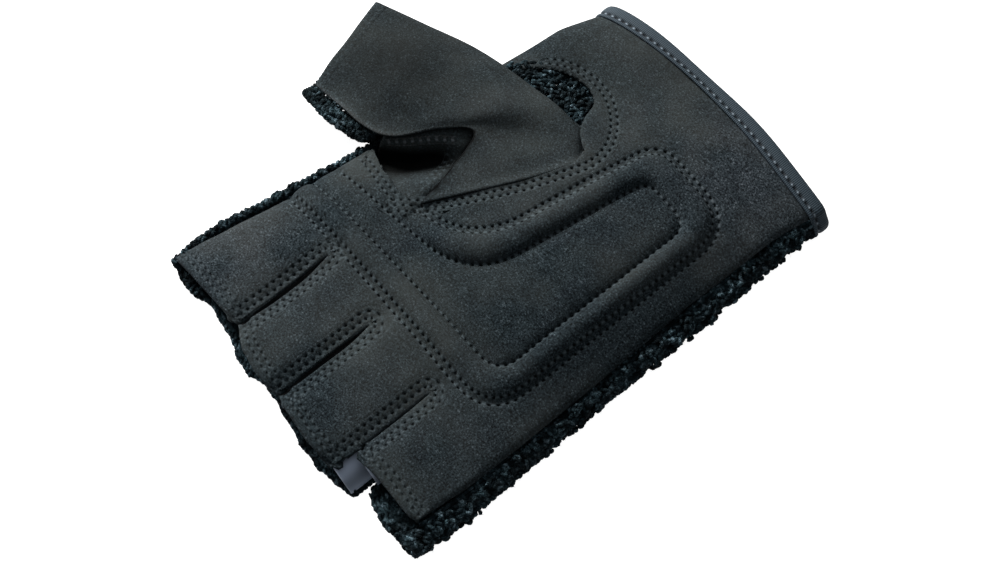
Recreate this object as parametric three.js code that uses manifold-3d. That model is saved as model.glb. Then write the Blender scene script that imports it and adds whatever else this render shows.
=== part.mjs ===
// A right-hand fingerless cycling glove, lying palm up with its thumb out to the side.
// Millimetres. +Y runs from the cuff to the fingers, +X towards the thumb, and +Z up from the
// surface that the crochet back lies on. The origin is on that surface, under the palm.
import * as THREE from "three";
import { mergeVertices } from "three/addons/utils/BufferGeometryUtils.js";
import Module from "manifold-3d";

const wasm = await Module();
wasm.setup();

// Thickness of each cloth
const SUEDE = 1.6;
const CROCHET = 2.2;
const STRETCH = 0.8;
const TAPE = 0.8;
// Room left between two pieces that are sewn together
const GAP = 0.35;

// Sections across the lying hand, from the cuff to the fingertips.
// seam: the suede's edge on the little-finger side; bulge: where the crochet rolls out furthest;
// tuck: the angle at which that roll starts, 90 being its top;
// side: the outermost suede on the index side; crown: top of the palm; floor: underside of the back;
// lip: how far the crochet stands out past the suede on the index side; lipTop: how high it turns up.
const HAND = [
  { y: -92, seam: -42.0, bulge: -44.3, tuck: 125, side: 46.2, crown: 13.2, floor: 1.4, lip: 0.0, lipTop: 3.0 },
  { y: -84, seam: -41.6, bulge: -44.3, tuck: 125, side: 47.6, crown: 13.4, floor: 1.4, lip: 0.0, lipTop: 3.0 },
  { y: -66, seam: -39.8, bulge: -44.2, tuck: 60, side: 51.2, crown: 14.8, floor: 0.0, lip: 0.6, lipTop: 3.3 },
  { y: -35, seam: -39.6, bulge: -45.4, tuck: 60, side: 54.3, crown: 16.0, floor: 0.0, lip: 1.0, lipTop: 3.3 },
  { y: -14, seam: -40.3, bulge: -45.2, tuck: 60, side: 55.5, crown: 16.2, floor: 0.0, lip: 2.9, lipTop: 4.0 },
  { y: 2, seam: -40.8, bulge: -45.2, tuck: 60, side: 56.4, crown: 16.0, floor: 0.0, lip: 3.1, lipTop: 5.8 },
  { y: 28, seam: -41.4, bulge: -46.1, tuck: 60, side: 59.0, crown: 13.8, floor: 0.0, lip: 3.8, lipTop: 6.0 },
  { y: 48, seam: -41.2, bulge: -46.8, tuck: 60, side: 62.4, crown: 11.8, floor: 0.0, lip: 3.6, lipTop: 6.0 },
  { y: 57, seam: -40.4, bulge: -46.6, tuck: 60, side: 64.0, crown: 11.4, floor: 0.0, lip: 2.9, lipTop: 4.6 },
  { y: 66, seam: -39.6, bulge: -46.2, tuck: 60, side: 65.0, crown: 11.0, floor: 0.0, lip: 1.2, lipTop: 3.3 },
  { y: 74, seam: -39.2, bulge: -45.8, tuck: 60, side: 65.6, crown: 10.8, floor: 0.0, lip: 0.8, lipTop: 3.3 },
];
const SEAM_HEIGHT = 9.4;
const SIDE_HEIGHT = 5.0;
const ROLL = 3.6; // radius of the crochet's roll on the little-finger side
const CROWN_AT = 0.45; // share of the width, from the seam
const SIDE_ROUNDNESS = 3.2; // exponent of the superellipse towards the index side

// Slits between the fingers: their line on the palm, on the back, and the crotch they end at.
const SLITS = [
  { name: "index_middle", palm: 35.4, back: 34.0, crotch: 32.5, ends: [63.0, 63.0] },
  { name: "middle_ring", palm: 11.5, back: 8.5, crotch: 37.0, ends: [67.2, 67.2] },
  { name: "ring_little", palm: -14.4, back: -22.0, crotch: 37.0, ends: [62.2, 69.0] },
];
const SLIT_WIDTH = 1.2;
const SLIT_VALLEY = { depth: 2.0, width: 3.2, fadeFrom: 24, fadeTo: 42 };

// Cut ends of the finger stubs, from the little finger to the index finger.
const PALM_ENDS = [
  { x: -60.0, y: 62.8 },
  { x: -26.0, y: 62.3 },
  { x: -14.4, y: 62.8 },
  { x: -14.4, y: 69.8 },
  { x: -4.0, y: 69.6 },
  { x: 11.5, y: 67.6 },
  { x: 20.0, y: 68.0 },
  { x: 28.0, y: 66.6 },
  { x: 35.4, y: 63.3 },
  { x: 44.0, y: 63.3 },
  { x: 80.0, y: 64.0 },
];
const BACK_ENDS = [
  { x: -60.0, y: 64.8 },
  { x: -40.0, y: 66.4 },
  { x: -22.0, y: 64.6 },
  { x: -22.0, y: 69.4 },
  { x: -6.0, y: 70.0 },
  { x: 8.5, y: 67.6 },
  { x: 24.0, y: 68.4 },
  { x: 34.0, y: 65.2 },
  { x: 52.0, y: 65.0 },
  { x: 80.0, y: 63.2 },
];
// How far the cuff's corners lie further in than its middle
const CUFF_BEND = { rise: 3.4, middle: 2.0, half: 46.0, fadeFrom: -58, fadeTo: -86 };

// Hole in the palm that the thumb leaves by, from the crotch round the seam, the cuff side and the
// index side, back to the crotch.
const THUMB_HOLE = [
  { x: 30.0, y: 4.0 },
  { x: 26.2, y: -3.7 },
  { x: 22.5, y: -11.6 },
  { x: 18.6, y: -19.3 },
  { x: 15.1, y: -27.4 },
  { x: 12.2, y: -35.0 },
  { x: 13.0, y: -41.6 },
  { x: 18.6, y: -45.6 },
  { x: 21.6, y: -50.0 },
  { x: 24.0, y: -55.6 },
  { x: 30.5, y: -58.0 },
  { x: 38.8, y: -55.4 },
  { x: 46.0, y: -49.6 },
  { x: 51.0, y: -42.0 },
  { x: 58.0, y: -37.0 },
  { x: 66.0, y: -28.0 },
  { x: 66.0, y: -12.0 },
  { x: 58.0, y: -1.0 },
  { x: 50.0, y: 3.4 },
  { x: 41.0, y: 5.2 },
];

// The padded ring round the palm: its outer and inner sewn lines, with the radius of each corner.
const PAD_OUTER = [
  { x: 54.0, y: 28.6, r: 0 },
  { x: -33.4, y: 29.8, r: 13 },
  { x: -33.0, y: -59.8, r: 13 },
  { x: 1.4, y: -60.0, r: 7 },
  { x: 10.4, y: 4.0, r: 20 },
  { x: 29.0, y: 4.6, r: 0 },
];
const PAD_INNER = [
  { x: 54.0, y: 21.4, r: 0 },
  { x: -25.4, y: 20.2, r: 8 },
  { x: -25.0, y: -49.6, r: 6 },
  { x: -5.6, y: -49.6, r: 4 },
  { x: 2.6, y: 8.6, r: 16 },
  { x: 29.0, y: 11.6, r: 0 },
];
const PAD_RISE = 1.5;
const PAD_STEPS = 44;

// The thumb's suede panel, from its seam on the palm to its hem. Each section runs from the
// finger side over the top to the fold on the cuff side and a little way under it.
const THUMB_TOP = [
  { edge: [30.6, 3.2, 15.5], inner: [24.6, -9.0, 15.8], crown: [20.0, -18.6, 15.9], outer: [16.4, -26.8, 15.9], fold: [13.2, -35.6, 15.8], under: [13.6, -39.8, 15.2] },
  { edge: [32.2, -7.0, 16.4], inner: [28.2, -15.5, 16.9], crown: [24.2, -23.2, 17.0], outer: [20.0, -31.0, 16.7], fold: [16.0, -39.0, 16.2], under: [15.2, -42.2, 15.0] },
  { edge: [36.4, -21.3, 17.9], inner: [33.4, -26.3, 16.2], crown: [29.4, -31.0, 15.6], outer: [24.6, -36.0, 15.5], fold: [19.4, -41.4, 15.6], under: [17.6, -43.8, 14.6] },
  { edge: [43.6, -15.6, 18.2], inner: [41.0, -22.4, 19.6], crown: [38.0, -30.0, 20.0], outer: [35.0, -38.0, 19.4], fold: [31.4, -45.3, 16.8], under: [29.4, -42.8, 14.2] },
  { edge: [51.4, -3.6, 17.2], inner: [51.0, -12.6, 19.0], crown: [50.8, -22.6, 19.3], outer: [50.8, -33.2, 18.4], fold: [50.8, -42.8, 15.4], under: [49.8, -39.4, 13.0] },
  { edge: [60.6, 0.2, 14.8], inner: [61.0, -8.8, 17.0], crown: [61.8, -19.0, 17.4], outer: [62.8, -30.4, 16.2], fold: [64.2, -40.4, 12.2], under: [63.2, -36.6, 8.8] },
  { edge: [71.4, 0.4, 12.2], inner: [72.6, -7.6, 14.6], crown: [74.2, -16.8, 14.9], outer: [76.2, -27.2, 13.6], fold: [78.9, -36.0, 9.6], under: [77.6, -32.0, 5.6] },
  { edge: [82.2, 0.2, 9.8], inner: [84.2, -6.4, 12.2], crown: [86.9, -13.8, 12.5], outer: [90.0, -22.2, 11.4], fold: [94.0, -30.4, 7.6], under: [92.8, -26.6, 3.6] },
];

// The thumb's crochet panel under it, from the palm to the hem and from the fold to the finger side.
const THUMB_UNDER = [
  { fold: [50.2, -39.4, 9.8], belly: [53.4, -29.0, 5.7], middle: [54.8, -17.0, 5.6], side: [56.0, -6.0, 6.4], lip: [56.6, 0.0, 9.4] },
  { fold: [63.4, -34.6, 6.2], belly: [62.6, -26.0, 5.0], middle: [61.8, -16.0, 4.8], side: [61.6, -3.4, 5.2], lip: [61.4, 3.4, 9.2] },
  { fold: [77.4, -30.0, 2.6], belly: [75.8, -23.0, 1.6], middle: [74.2, -14.0, 1.4], side: [72.8, -1.6, 2.0], lip: [72.0, 5.0, 7.4] },
  { fold: [93.6, -24.4, 1.2], belly: [91.6, -18.6, 0.6], middle: [89.2, -12.0, 0.6], side: [85.6, -1.8, 1.0], lip: [83.4, 4.4, 5.8] },
];
// Where that panel starts, a flat strip that fills the cuff side of the thumb hole.
const STRIP_TOP = 12.6;
const STRIP_OUTLINE = [
  { x: 16.0, y: -50.6 },
  { x: 21.9, y: -56.4 },
  { x: 30.5, y: -57.5 },
  { x: 38.5, y: -55.0 },
  { x: 45.5, y: -49.2 },
  { x: 50.4, y: -41.0 },
  { x: 50.8, y: -37.0 },
  { x: 40.0, y: -40.0 },
  { x: 30.0, y: -42.6 },
  { x: 20.0, y: -46.0 },
];

// The leaf of suede between thumb and index finger, from the palm's edge up under the thumb's edge.
const GUSSET = [
  { crease: [31.8, 2.8, 14.6], near: [36.6, 4.2, 14.4], far: [44.0, 3.9, 12.9], open: [52.4, 1.4, 10.4] },
  { crease: [33.0, -6.4, 14.5], near: [38.6, -2.6, 12.2], far: [45.6, -0.6, 11.0], open: [53.0, 0.2, 10.8] },
  { crease: [35.4, -14.6, 14.6], near: [40.8, -9.6, 12.4], far: [47.0, -4.0, 11.6], open: [52.8, -1.0, 11.8] },
  { crease: [38.2, -21.2, 15.2], near: [43.4, -15.2, 15.4], far: [48.4, -7.8, 15.0], open: [52.4, -2.8, 14.2] },
];

// The tape folded over the cuff: where it starts and its fold, and the slot for the cloth.
const TAPE_FROM = -81.7;
const TAPE_FOLD = -87.3;
const CLOTH_END = -86.0;

// The net of the back
const NET = { pitch: 11.6, hole: 7.2, sides: 6, margin: 7.5, slitMargin: 4.6, fromY: -72, toY: 60 };
const SIDE_HOLES = { radius: 1.25, height: 3.7, pitch: 13.3, fromY: -68, toY: 62 };

// Catmull-Rom value between four numbers
function spline(a, b, c, d, t) {
  const slopeIn = (c - a) / 2;
  const slopeOut = (d - b) / 2;
  const t2 = t * t;
  const t3 = t2 * t;
  return (2 * t3 - 3 * t2 + 1) * b + (t3 - 2 * t2 + t) * slopeIn + (3 * t2 - 2 * t3) * c + (t3 - t2) * slopeOut;
}

// A row of numbers read at a share 0 to 1 of its length
function readRow(values, share) {
  const last = values.length - 1;
  const at = Math.min(Math.max(share, 0), 1) * last;
  const i = Math.min(Math.floor(at), last - 1);
  const before = i > 0 ? values[i - 1] : 2 * values[i] - values[i + 1];
  const after = i + 2 <= last ? values[i + 2] : 2 * values[i + 1] - values[i];
  return spline(before, values[i], values[i + 1], after, at - i);
}

// Every column of HAND at a place along the hand, with straight lines between its rows
function handAt(y) {
  const last = HAND.length - 1;
  let i = HAND.findIndex((row) => row.y > y) - 1;
  if (i === -2) i = last - 1;
  i = Math.max(i, 0);
  const t = Math.min(Math.max((y - HAND[i].y) / (HAND[i + 1].y - HAND[i].y), 0), 1);
  const ease = t * t * (3 - 2 * t) * 0.4 + t * 0.6;
  const row = {};
  for (const column of Object.keys(HAND[0])) {
    row[column] = HAND[i][column] + (HAND[i + 1][column] - HAND[i][column]) * ease;
  }
  return row;
}

// Place of a section's point once the cuff is bowed
function bowed(x, y) {
  const { rise, middle, half, fadeFrom, fadeTo } = CUFF_BEND;
  const fade = Math.max((y - fadeFrom) / (fadeTo - fadeFrom), 0);
  return y + rise * fade * fade * ((x - middle) / half) ** 2;
}

// Height of the suede's outer face over a point of the palm
function palmHeight(x, y) {
  const hand = handAt(y);
  const crownX = hand.seam + CROWN_AT * (hand.side - hand.seam);
  let z;
  if (x < crownX) {
    const share = Math.min(Math.max((crownX - x) / (crownX - hand.seam), 0), 1.1);
    z = hand.crown - (hand.crown - SEAM_HEIGHT) * share ** 2.4;
  } else {
    const share = Math.min((x - crownX) / (hand.side - crownX), 1);
    z = SIDE_HEIGHT + (hand.crown - SIDE_HEIGHT) * (1 - share ** SIDE_ROUNDNESS) ** (1 / SIDE_ROUNDNESS);
  }
  const { depth, width, fadeFrom, fadeTo } = SLIT_VALLEY;
  const fade = Math.min(Math.max((y - fadeFrom) / (fadeTo - fadeFrom), 0), 1);
  for (const slit of SLITS) {
    z -= depth * fade * Math.exp(-(((x - slit.palm) / width) ** 2));
  }
  return z;
}

// Outer face of the palm's suede: across runs 0 to 1 from the seam to the index side
function palmPoint(across, y) {
  const hand = handAt(y);
  const crownX = hand.seam + CROWN_AT * (hand.side - hand.seam);
  const x =
    across < CROWN_AT
      ? hand.seam + (across / CROWN_AT) * (crownX - hand.seam)
      : crownX + (hand.side - crownX) * (1 - (1 - (across - CROWN_AT) / (1 - CROWN_AT)) ** 1.7);
  return new THREE.Vector3(x, bowed(x, y), palmHeight(x, y));
}

// Outer face of the crochet back: round runs 0 to 1 from under the suede's seam, round the roll on
// the little-finger side, across the floor and up the lip on the index side
function backPoint(round, y) {
  const h = handAt(y);
  const xs = [];
  const zs = [];
  for (const share of [0, 0.2, 0.4, 0.6, 0.8, 1]) {
    const angle = ((h.tuck + (270 - h.tuck) * share) * Math.PI) / 180;
    xs.push(h.bulge + ROLL * (1 + Math.cos(angle)));
    zs.push(ROLL * (1 + Math.sin(angle)));
  }
  const flatFrom = h.bulge + ROLL;
  const flatTo = h.side - 5.5;
  for (const share of [0.2, 0.4, 0.6, 0.8, 1]) {
    xs.push(flatFrom + (flatTo - flatFrom) * share);
    zs.push(0);
  }
  xs.push(h.side + h.lip * 0.7 - 0.9, h.side + h.lip);
  zs.push(1.3, h.lipTop);
  const z = Math.max(readRow(zs, round), 0);
  const x = readRow(xs, round);
  return new THREE.Vector3(x, bowed(x, y), h.floor + z * (1 - h.floor / 12));
}

// A point of a table of sections, at shares 0 to 1 along the sections and across them
function tablePoint(table, along, across) {
  const columns = Object.keys(table[0]);
  const point = [0, 1, 2].map((axis) =>
    readRow(
      table.map((row) => readRow(columns.map((column) => row[column][axis]), across)),
      along,
    ),
  );
  return new THREE.Vector3(...point);
}

// Unit normal of a surface, by small steps, on the side that facing says
function normalAt(surface, u, v, facing) {
  const step = 0.004;
  const [u0, u1] = [Math.max(u - step, 0), Math.min(u + step, 1)];
  const [v0, v1] = [Math.max(v - step, 0), Math.min(v + step, 1)];
  const alongU = surface(u1, v).sub(surface(u0, v));
  const alongV = surface(u, v1).sub(surface(u, v0));
  return alongU.cross(alongV).normalize().multiplyScalar(facing);
}

// A closed solid from a grid of corners, grid[row][column], whose rows and columns may close
function solidFromGrid(grid, closeRows, closeColumns) {
  const rows = grid.length;
  const columns = grid[0].length;
  const positions = grid.flat().flatMap((p) => [p.x, p.y, p.z]);
  const faces = [];
  const corner = (i, j) => (i % rows) * columns + (j % columns);
  for (let i = 0; i < (closeRows ? rows : rows - 1); i++) {
    for (let j = 0; j < (closeColumns ? columns : columns - 1); j++) {
      const [a, b, c, d] = [corner(i, j), corner(i + 1, j), corner(i + 1, j + 1), corner(i, j + 1)];
      faces.push(a, b, c, a, c, d);
    }
  }
  if (!closeRows) {
    for (let j = 1; j < columns - 1; j++) {
      faces.push(corner(0, 0), corner(0, j), corner(0, j + 1));
      faces.push(corner(rows - 1, 0), corner(rows - 1, j + 1), corner(rows - 1, j));
    }
  }
  return solidFromFaces(positions, faces);
}

function solidFromFaces(positions, faces) {
  const make = (triVerts) =>
    new wasm.Manifold(
      new wasm.Mesh({ numProp: 3, vertProperties: Float32Array.from(positions), triVerts: Uint32Array.from(triVerts) }),
    );
  const made = make(faces);
  if (made.volume() > 0) return made;
  const turned = [];
  for (let i = 0; i < faces.length; i += 3) turned.push(faces[i], faces[i + 2], faces[i + 1]);
  return make(turned);
}

// A sheet of cloth: the surface over shares 0 to 1, and the same surface moved in by its thickness
function sheet(surface, columns, rows, thickness, facing, outside = 0) {
  const positions = [];
  const faces = [];
  const layers = [outside, -thickness - outside];
  const index = (layer, i, j) => layer * (columns + 1) * (rows + 1) + j * (columns + 1) + i;
  for (const offset of layers) {
    for (let j = 0; j <= rows; j++) {
      for (let i = 0; i <= columns; i++) {
        const [u, v] = [i / columns, j / rows];
        const p = surface(u, v).addScaledVector(normalAt(surface, u, v, facing), offset);
        positions.push(p.x, p.y, p.z);
      }
    }
  }
  const quad = (a, b, c, d) => faces.push(a, b, c, a, c, d);
  for (let j = 0; j < rows; j++) {
    for (let i = 0; i < columns; i++) {
      quad(index(0, i, j), index(0, i + 1, j), index(0, i + 1, j + 1), index(0, i, j + 1));
      quad(index(1, i, j), index(1, i, j + 1), index(1, i + 1, j + 1), index(1, i + 1, j));
    }
  }
  for (let i = 0; i < columns; i++) {
    quad(index(0, i + 1, 0), index(0, i, 0), index(1, i, 0), index(1, i + 1, 0));
    quad(index(0, i, rows), index(0, i + 1, rows), index(1, i + 1, rows), index(1, i, rows));
  }
  for (let j = 0; j < rows; j++) {
    quad(index(0, 0, j), index(0, 0, j + 1), index(1, 0, j + 1), index(1, 0, j));
    quad(index(0, columns, j + 1), index(0, columns, j), index(1, columns, j), index(1, columns, j + 1));
  }
  return solidFromFaces(positions, faces);
}

// A three.js geometry as a solid that can be joined and cut
function solidFromGeometry(geometry) {
  const bare = geometry.clone();
  bare.deleteAttribute("normal");
  bare.deleteAttribute("uv");
  const merged = mergeVertices(bare, 1e-4);
  return solidFromFaces(Array.from(merged.attributes.position.array), Array.from(merged.index.array));
}

// An upright prism over an outline in the plane of the palm
function prism(points, bottom, top) {
  const shape = new THREE.Shape(points.map((p) => new THREE.Vector2(p.x, p.y)));
  const geometry = new THREE.ExtrudeGeometry(shape, { depth: top - bottom, bevelEnabled: false });
  return solidFromGeometry(geometry.translate(0, 0, bottom));
}

// A closed smooth outline through a few points
function smoothLoop(points, steps) {
  const curve = new THREE.CatmullRomCurve3(points.map((p) => new THREE.Vector3(p.x, p.y, 0)), true);
  return curve.getPoints(steps).slice(0, steps);
}

// Points along a line whose corners are rounded to their own radius
function roundedLine(corners, steps) {
  const path = new THREE.CurvePath();
  let from = new THREE.Vector2(corners[0].x, corners[0].y);
  for (let i = 1; i < corners.length - 1; i++) {
    const corner = new THREE.Vector2(corners[i].x, corners[i].y);
    const back = new THREE.Vector2(corners[i - 1].x, corners[i - 1].y).sub(corner);
    const on = new THREE.Vector2(corners[i + 1].x, corners[i + 1].y).sub(corner);
    const start = corner.clone().addScaledVector(back.normalize(), corners[i].r);
    const end = corner.clone().addScaledVector(on.normalize(), corners[i].r);
    path.add(new THREE.LineCurve(from, start));
    path.add(new THREE.QuadraticBezierCurve(start, corner, end));
    from = end;
  }
  const last = corners[corners.length - 1];
  path.add(new THREE.LineCurve(from, new THREE.Vector2(last.x, last.y)));
  return path.getSpacedPoints(steps);
}

function meshOf(name, solid, colour, roughness) {
  const data = solid.getMesh();
  const geometry = new THREE.BufferGeometry();
  const corners = [];
  for (const vertex of data.triVerts) {
    const at = vertex * data.numProp;
    corners.push(data.vertProperties[at], data.vertProperties[at + 1], data.vertProperties[at + 2]);
  }
  geometry.setAttribute("position", new THREE.Float32BufferAttribute(corners, 3));
  geometry.computeVertexNormals();
  const material = new THREE.MeshStandardMaterial({ color: colour, roughness, metalness: 0 });
  const mesh = new THREE.Mesh(geometry, material);
  mesh.name = name;
  return mesh;
}

// The whole length of the hand as a share 0 to 1
const HAND_FROM = CLOTH_END;
const HAND_TO = 73;
const alongHand = (share) => HAND_FROM + (HAND_TO - HAND_FROM) * share;

// Plan outline of a side of the glove: its cut finger ends and the slits between the fingers
function fingersOutline(ends, slitLine) {
  const half = SLIT_WIDTH / 2;
  const points = [
    { x: 80, y: HAND_FROM - 1 },
    { x: -60, y: HAND_FROM - 1 },
  ];
  let previous = ends[0];
  for (const end of ends) {
    for (const slit of SLITS) {
      const line = slitLine(slit);
      if (end.x === line && previous.x !== line) {
        const twin = ends.filter((e) => e.x === line);
        points.push({ x: line - half, y: twin[0].y });
        points.push({ x: line - half * 0.6, y: slit.crotch });
        points.push({ x: line + half * 0.6, y: slit.crotch });
        points.push({ x: line + half, y: twin[twin.length - 1].y });
      }
    }
    if (!SLITS.some((slit) => end.x === slitLine(slit))) points.push(end);
    previous = end;
  }
  return points;
}

// Palm panel of suede, with the padded ring raised on it
function palmSuede() {
  const cloth = sheet((u, v) => palmPoint(u, alongHand(v)), 20, 24, SUEDE, 1);
  const outline = prism(fingersOutline(PALM_ENDS, (slit) => slit.palm), -5, 40);
  const hole = prism(smoothLoop(THUMB_HOLE, 40), -5, 40);
  return cloth.add(paddedRing()).intersect(outline).subtract(hole).subtract(roomForThumb());
}

// The ring of padding: a low rounded ridge between its two sewn lines
function paddedRing() {
  const outer = roundedLine(PAD_OUTER, PAD_STEPS);
  const inner = roundedLine(PAD_INNER, PAD_STEPS);
  const shares = [0, 0.18, 0.5, 0.82, 1];
  const rows = outer.map((a, i) => {
    const top = shares.map((share) => {
      const p = a.clone().lerp(inner[i], share);
      const rise = PAD_RISE * Math.sin(Math.PI * share) ** 0.7;
      return new THREE.Vector3(p.x, p.y, palmHeight(p.x, p.y) + rise - 0.05);
    });
    const below = shares.map((share) => {
      const p = a.clone().lerp(inner[i], share);
      return new THREE.Vector3(p.x, p.y, palmHeight(p.x, p.y) - SUEDE * 0.6);
    });
    return [...top, ...below.reverse()];
  });
  return solidFromGrid(rows, false, true);
}

// Crochet back, cut through by the gaps of its net
function backCrochet() {
  const cloth = sheet((u, v) => backPoint(u, alongHand(v)), 24, 14, CROCHET, -1);
  const outline = prism(fingersOutline(BACK_ENDS, (slit) => slit.back), -5, 40);
  const holes = netHoles().map((p) => {
    const geometry = new THREE.CylinderGeometry(NET.hole / 2, NET.hole / 2, 8.6, NET.sides);
    return solidFromGeometry(geometry.rotateX(Math.PI / 2).translate(p.x, p.y, 0));
  });
  return cloth.intersect(outline).subtract(wasm.Manifold.union([...holes, ...sideHoles()]));
}

// Centres of the net's gaps: staggered rows that keep clear of the hems, rolls and slits
function netHoles() {
  const centres = [];
  const rowStep = NET.pitch * Math.sin(Math.PI / 3);
  const rowCount = Math.ceil(160 / rowStep);
  for (let row = -rowCount; row <= rowCount; row++) {
    const y = (row + 0.5) * rowStep;
    const hand = handAt(y);
    for (let k = -12; k <= 12; k++) {
      const x = (k + (row % 2 ? 0.5 : 0)) * NET.pitch;
      const inside = x > hand.bulge + NET.margin && x < hand.side - NET.margin + 1;
      const nearSlit = SLITS.some((s) => Math.abs(x - s.back) < NET.slitMargin && y > s.crotch - 5);
      if (inside && !nearSlit && y > NET.fromY && y < NET.toY) centres.push({ x, y });
    }
  }
  return centres;
}

// The net's gaps that show in the roll on the little-finger side
function sideHoles() {
  const holes = [];
  for (let y = SIDE_HOLES.fromY; y < SIDE_HOLES.toY; y += SIDE_HOLES.pitch) {
    const geometry = new THREE.CylinderGeometry(SIDE_HOLES.radius, SIDE_HOLES.radius, 8, 6);
    geometry.rotateY(0.3).rotateZ(Math.PI / 2).translate(handAt(y).bulge - 1, y, SIDE_HOLES.height);
    holes.push(solidFromGeometry(geometry));
  }
  return holes;
}

// Side walls of two neighbouring fingers, one strip that turns round in the crotch between them
function fourchette(slit) {
  const bottom = CROCHET + GAP;
  const top = palmHeight(slit.palm, 64) - SUEDE - GAP;
  const inside = SLIT_WIDTH / 2 + 0.2;
  const outside = inside + STRETCH;
  const shape = new THREE.Shape();
  shape.moveTo(-outside, slit.ends[0]);
  shape.lineTo(-outside, slit.crotch + outside);
  shape.absarc(0, slit.crotch + outside, outside, Math.PI, 2 * Math.PI, false);
  shape.lineTo(outside, slit.ends[1]);
  shape.lineTo(inside, slit.ends[1]);
  shape.lineTo(inside, slit.crotch + outside);
  shape.absarc(0, slit.crotch + outside, inside, 2 * Math.PI, Math.PI, true);
  shape.lineTo(-inside, slit.ends[0]);
  const geometry = new THREE.ExtrudeGeometry(shape, { depth: top - bottom, steps: 2, bevelEnabled: false, curveSegments: 4 });
  const position = geometry.attributes.position;
  for (let i = 0; i < position.count; i++) {
    const share = position.getZ(i) / (top - bottom);
    position.setX(i, position.getX(i) + slit.back + (slit.palm - slit.back) * share);
  }
  return solidFromGeometry(geometry.translate(0, 0, bottom));
}

// The thumb's suede panel, and the same panel grown by the room left round it
function thumbSuede() {
  return sheet((u, v) => tablePoint(THUMB_TOP, v, u), 12, 18, SUEDE, 1);
}

function roomForThumb() {
  return sheet((u, v) => tablePoint(THUMB_TOP, v, u), 12, 18, SUEDE, 1, GAP);
}

// The thumb's crochet panel with the flat strip that it starts as
const thumbUnderPoint = (u, v) => tablePoint(THUMB_UNDER, v, u);
function thumbCrochet() {
  const under = sheet(thumbUnderPoint, 10, 9, CROCHET, 1);
  const strip = prism(STRIP_OUTLINE, STRIP_TOP - CROCHET, STRIP_TOP);
  const holes = [];
  for (const along of [0.3, 0.5, 0.7, 0.9]) {
    for (const across of [0.25, 0.5, 0.72]) {
      const p = thumbUnderPoint(across, along);
      const geometry = new THREE.CylinderGeometry(NET.hole / 3, NET.hole / 3, 8, NET.sides);
      holes.push(solidFromGeometry(geometry.rotateX(Math.PI / 2).translate(p.x, p.y, p.z + 1)));
    }
  }
  return under.add(strip).subtract(wasm.Manifold.union(holes)).subtract(roomForThumb());
}

// The leaf of suede in the crotch, cut clear of the thumb's panel
function thumbGusset() {
  const leaf = sheet((u, v) => tablePoint(GUSSET, v, u), 6, 8, SUEDE, -1);
  return leaf.subtract(roomForThumb());
}

// The tape round the cuff: a slotted ring that the ends of both panels stand in
function wristBinding() {
  const round = [];
  const palmSteps = 18;
  const backSteps = 18;
  for (let i = 0; i <= palmSteps; i++) round.push((y) => palmPoint(i / palmSteps, y));
  for (let i = backSteps; i >= 0; i--) round.push((y) => backPoint(i / backSteps, y));
  const inside = -(CROCHET + GAP);
  const section = [
    { out: GAP + TAPE, y: TAPE_FROM },
    { out: GAP, y: TAPE_FROM },
    { out: GAP, y: CLOTH_END - GAP },
    { out: inside, y: CLOTH_END - GAP },
    { out: inside, y: TAPE_FROM },
    { out: inside - TAPE, y: TAPE_FROM },
    { out: inside - TAPE, y: TAPE_FOLD + 0.7 },
    { out: inside, y: TAPE_FOLD },
    { out: GAP, y: TAPE_FOLD },
    { out: GAP + TAPE, y: TAPE_FOLD + 0.7 },
  ];
  const rows = round.map((point, i) => {
    const before = round[(i + round.length - 1) % round.length];
    const after = round[(i + 1) % round.length];
    return section.map(({ out, y }) => {
      const along = after(y).sub(before(y));
      const outward = new THREE.Vector3(-along.z, 0, along.x).normalize();
      return point(y).addScaledVector(outward, out);
    });
  });
  return solidFromGrid(rows, true, true);
}

const SUEDE_COLOUR = 0x34393a;
const CROCHET_COLOUR = 0x14181c;
const STRETCH_COLOUR = 0x3a4048;
const TAPE_COLOUR = 0x252b33;

const glove = new THREE.Group();
glove.add(meshOf("palm_suede", palmSuede(), SUEDE_COLOUR, 0.95));
glove.add(meshOf("back_crochet", backCrochet(), CROCHET_COLOUR, 0.9));
glove.add(meshOf("thumb_suede", thumbSuede(), SUEDE_COLOUR, 0.95));
glove.add(meshOf("thumb_crochet", thumbCrochet(), CROCHET_COLOUR, 0.9));
glove.add(meshOf("thumb_gusset", thumbGusset(), SUEDE_COLOUR, 0.95));
for (const slit of SLITS) {
  glove.add(meshOf(`fourchette_${slit.name}`, fourchette(slit), STRETCH_COLOUR, 0.8));
}
glove.add(meshOf("wrist_binding", wristBinding(), TAPE_COLOUR, 0.7));

export default glove;
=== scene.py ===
# A right-hand fingerless cycling glove, lying palm up with its thumb out to the side.
# Sizes are in millimetres and become metres when a mesh is made: +Y runs from the cuff to the
# fingers, +X towards the thumb, and +Z up from the surface the glove lies on.
import math
import random

import bpy
import numpy as np
from mathutils import Matrix, Vector, noise


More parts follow.
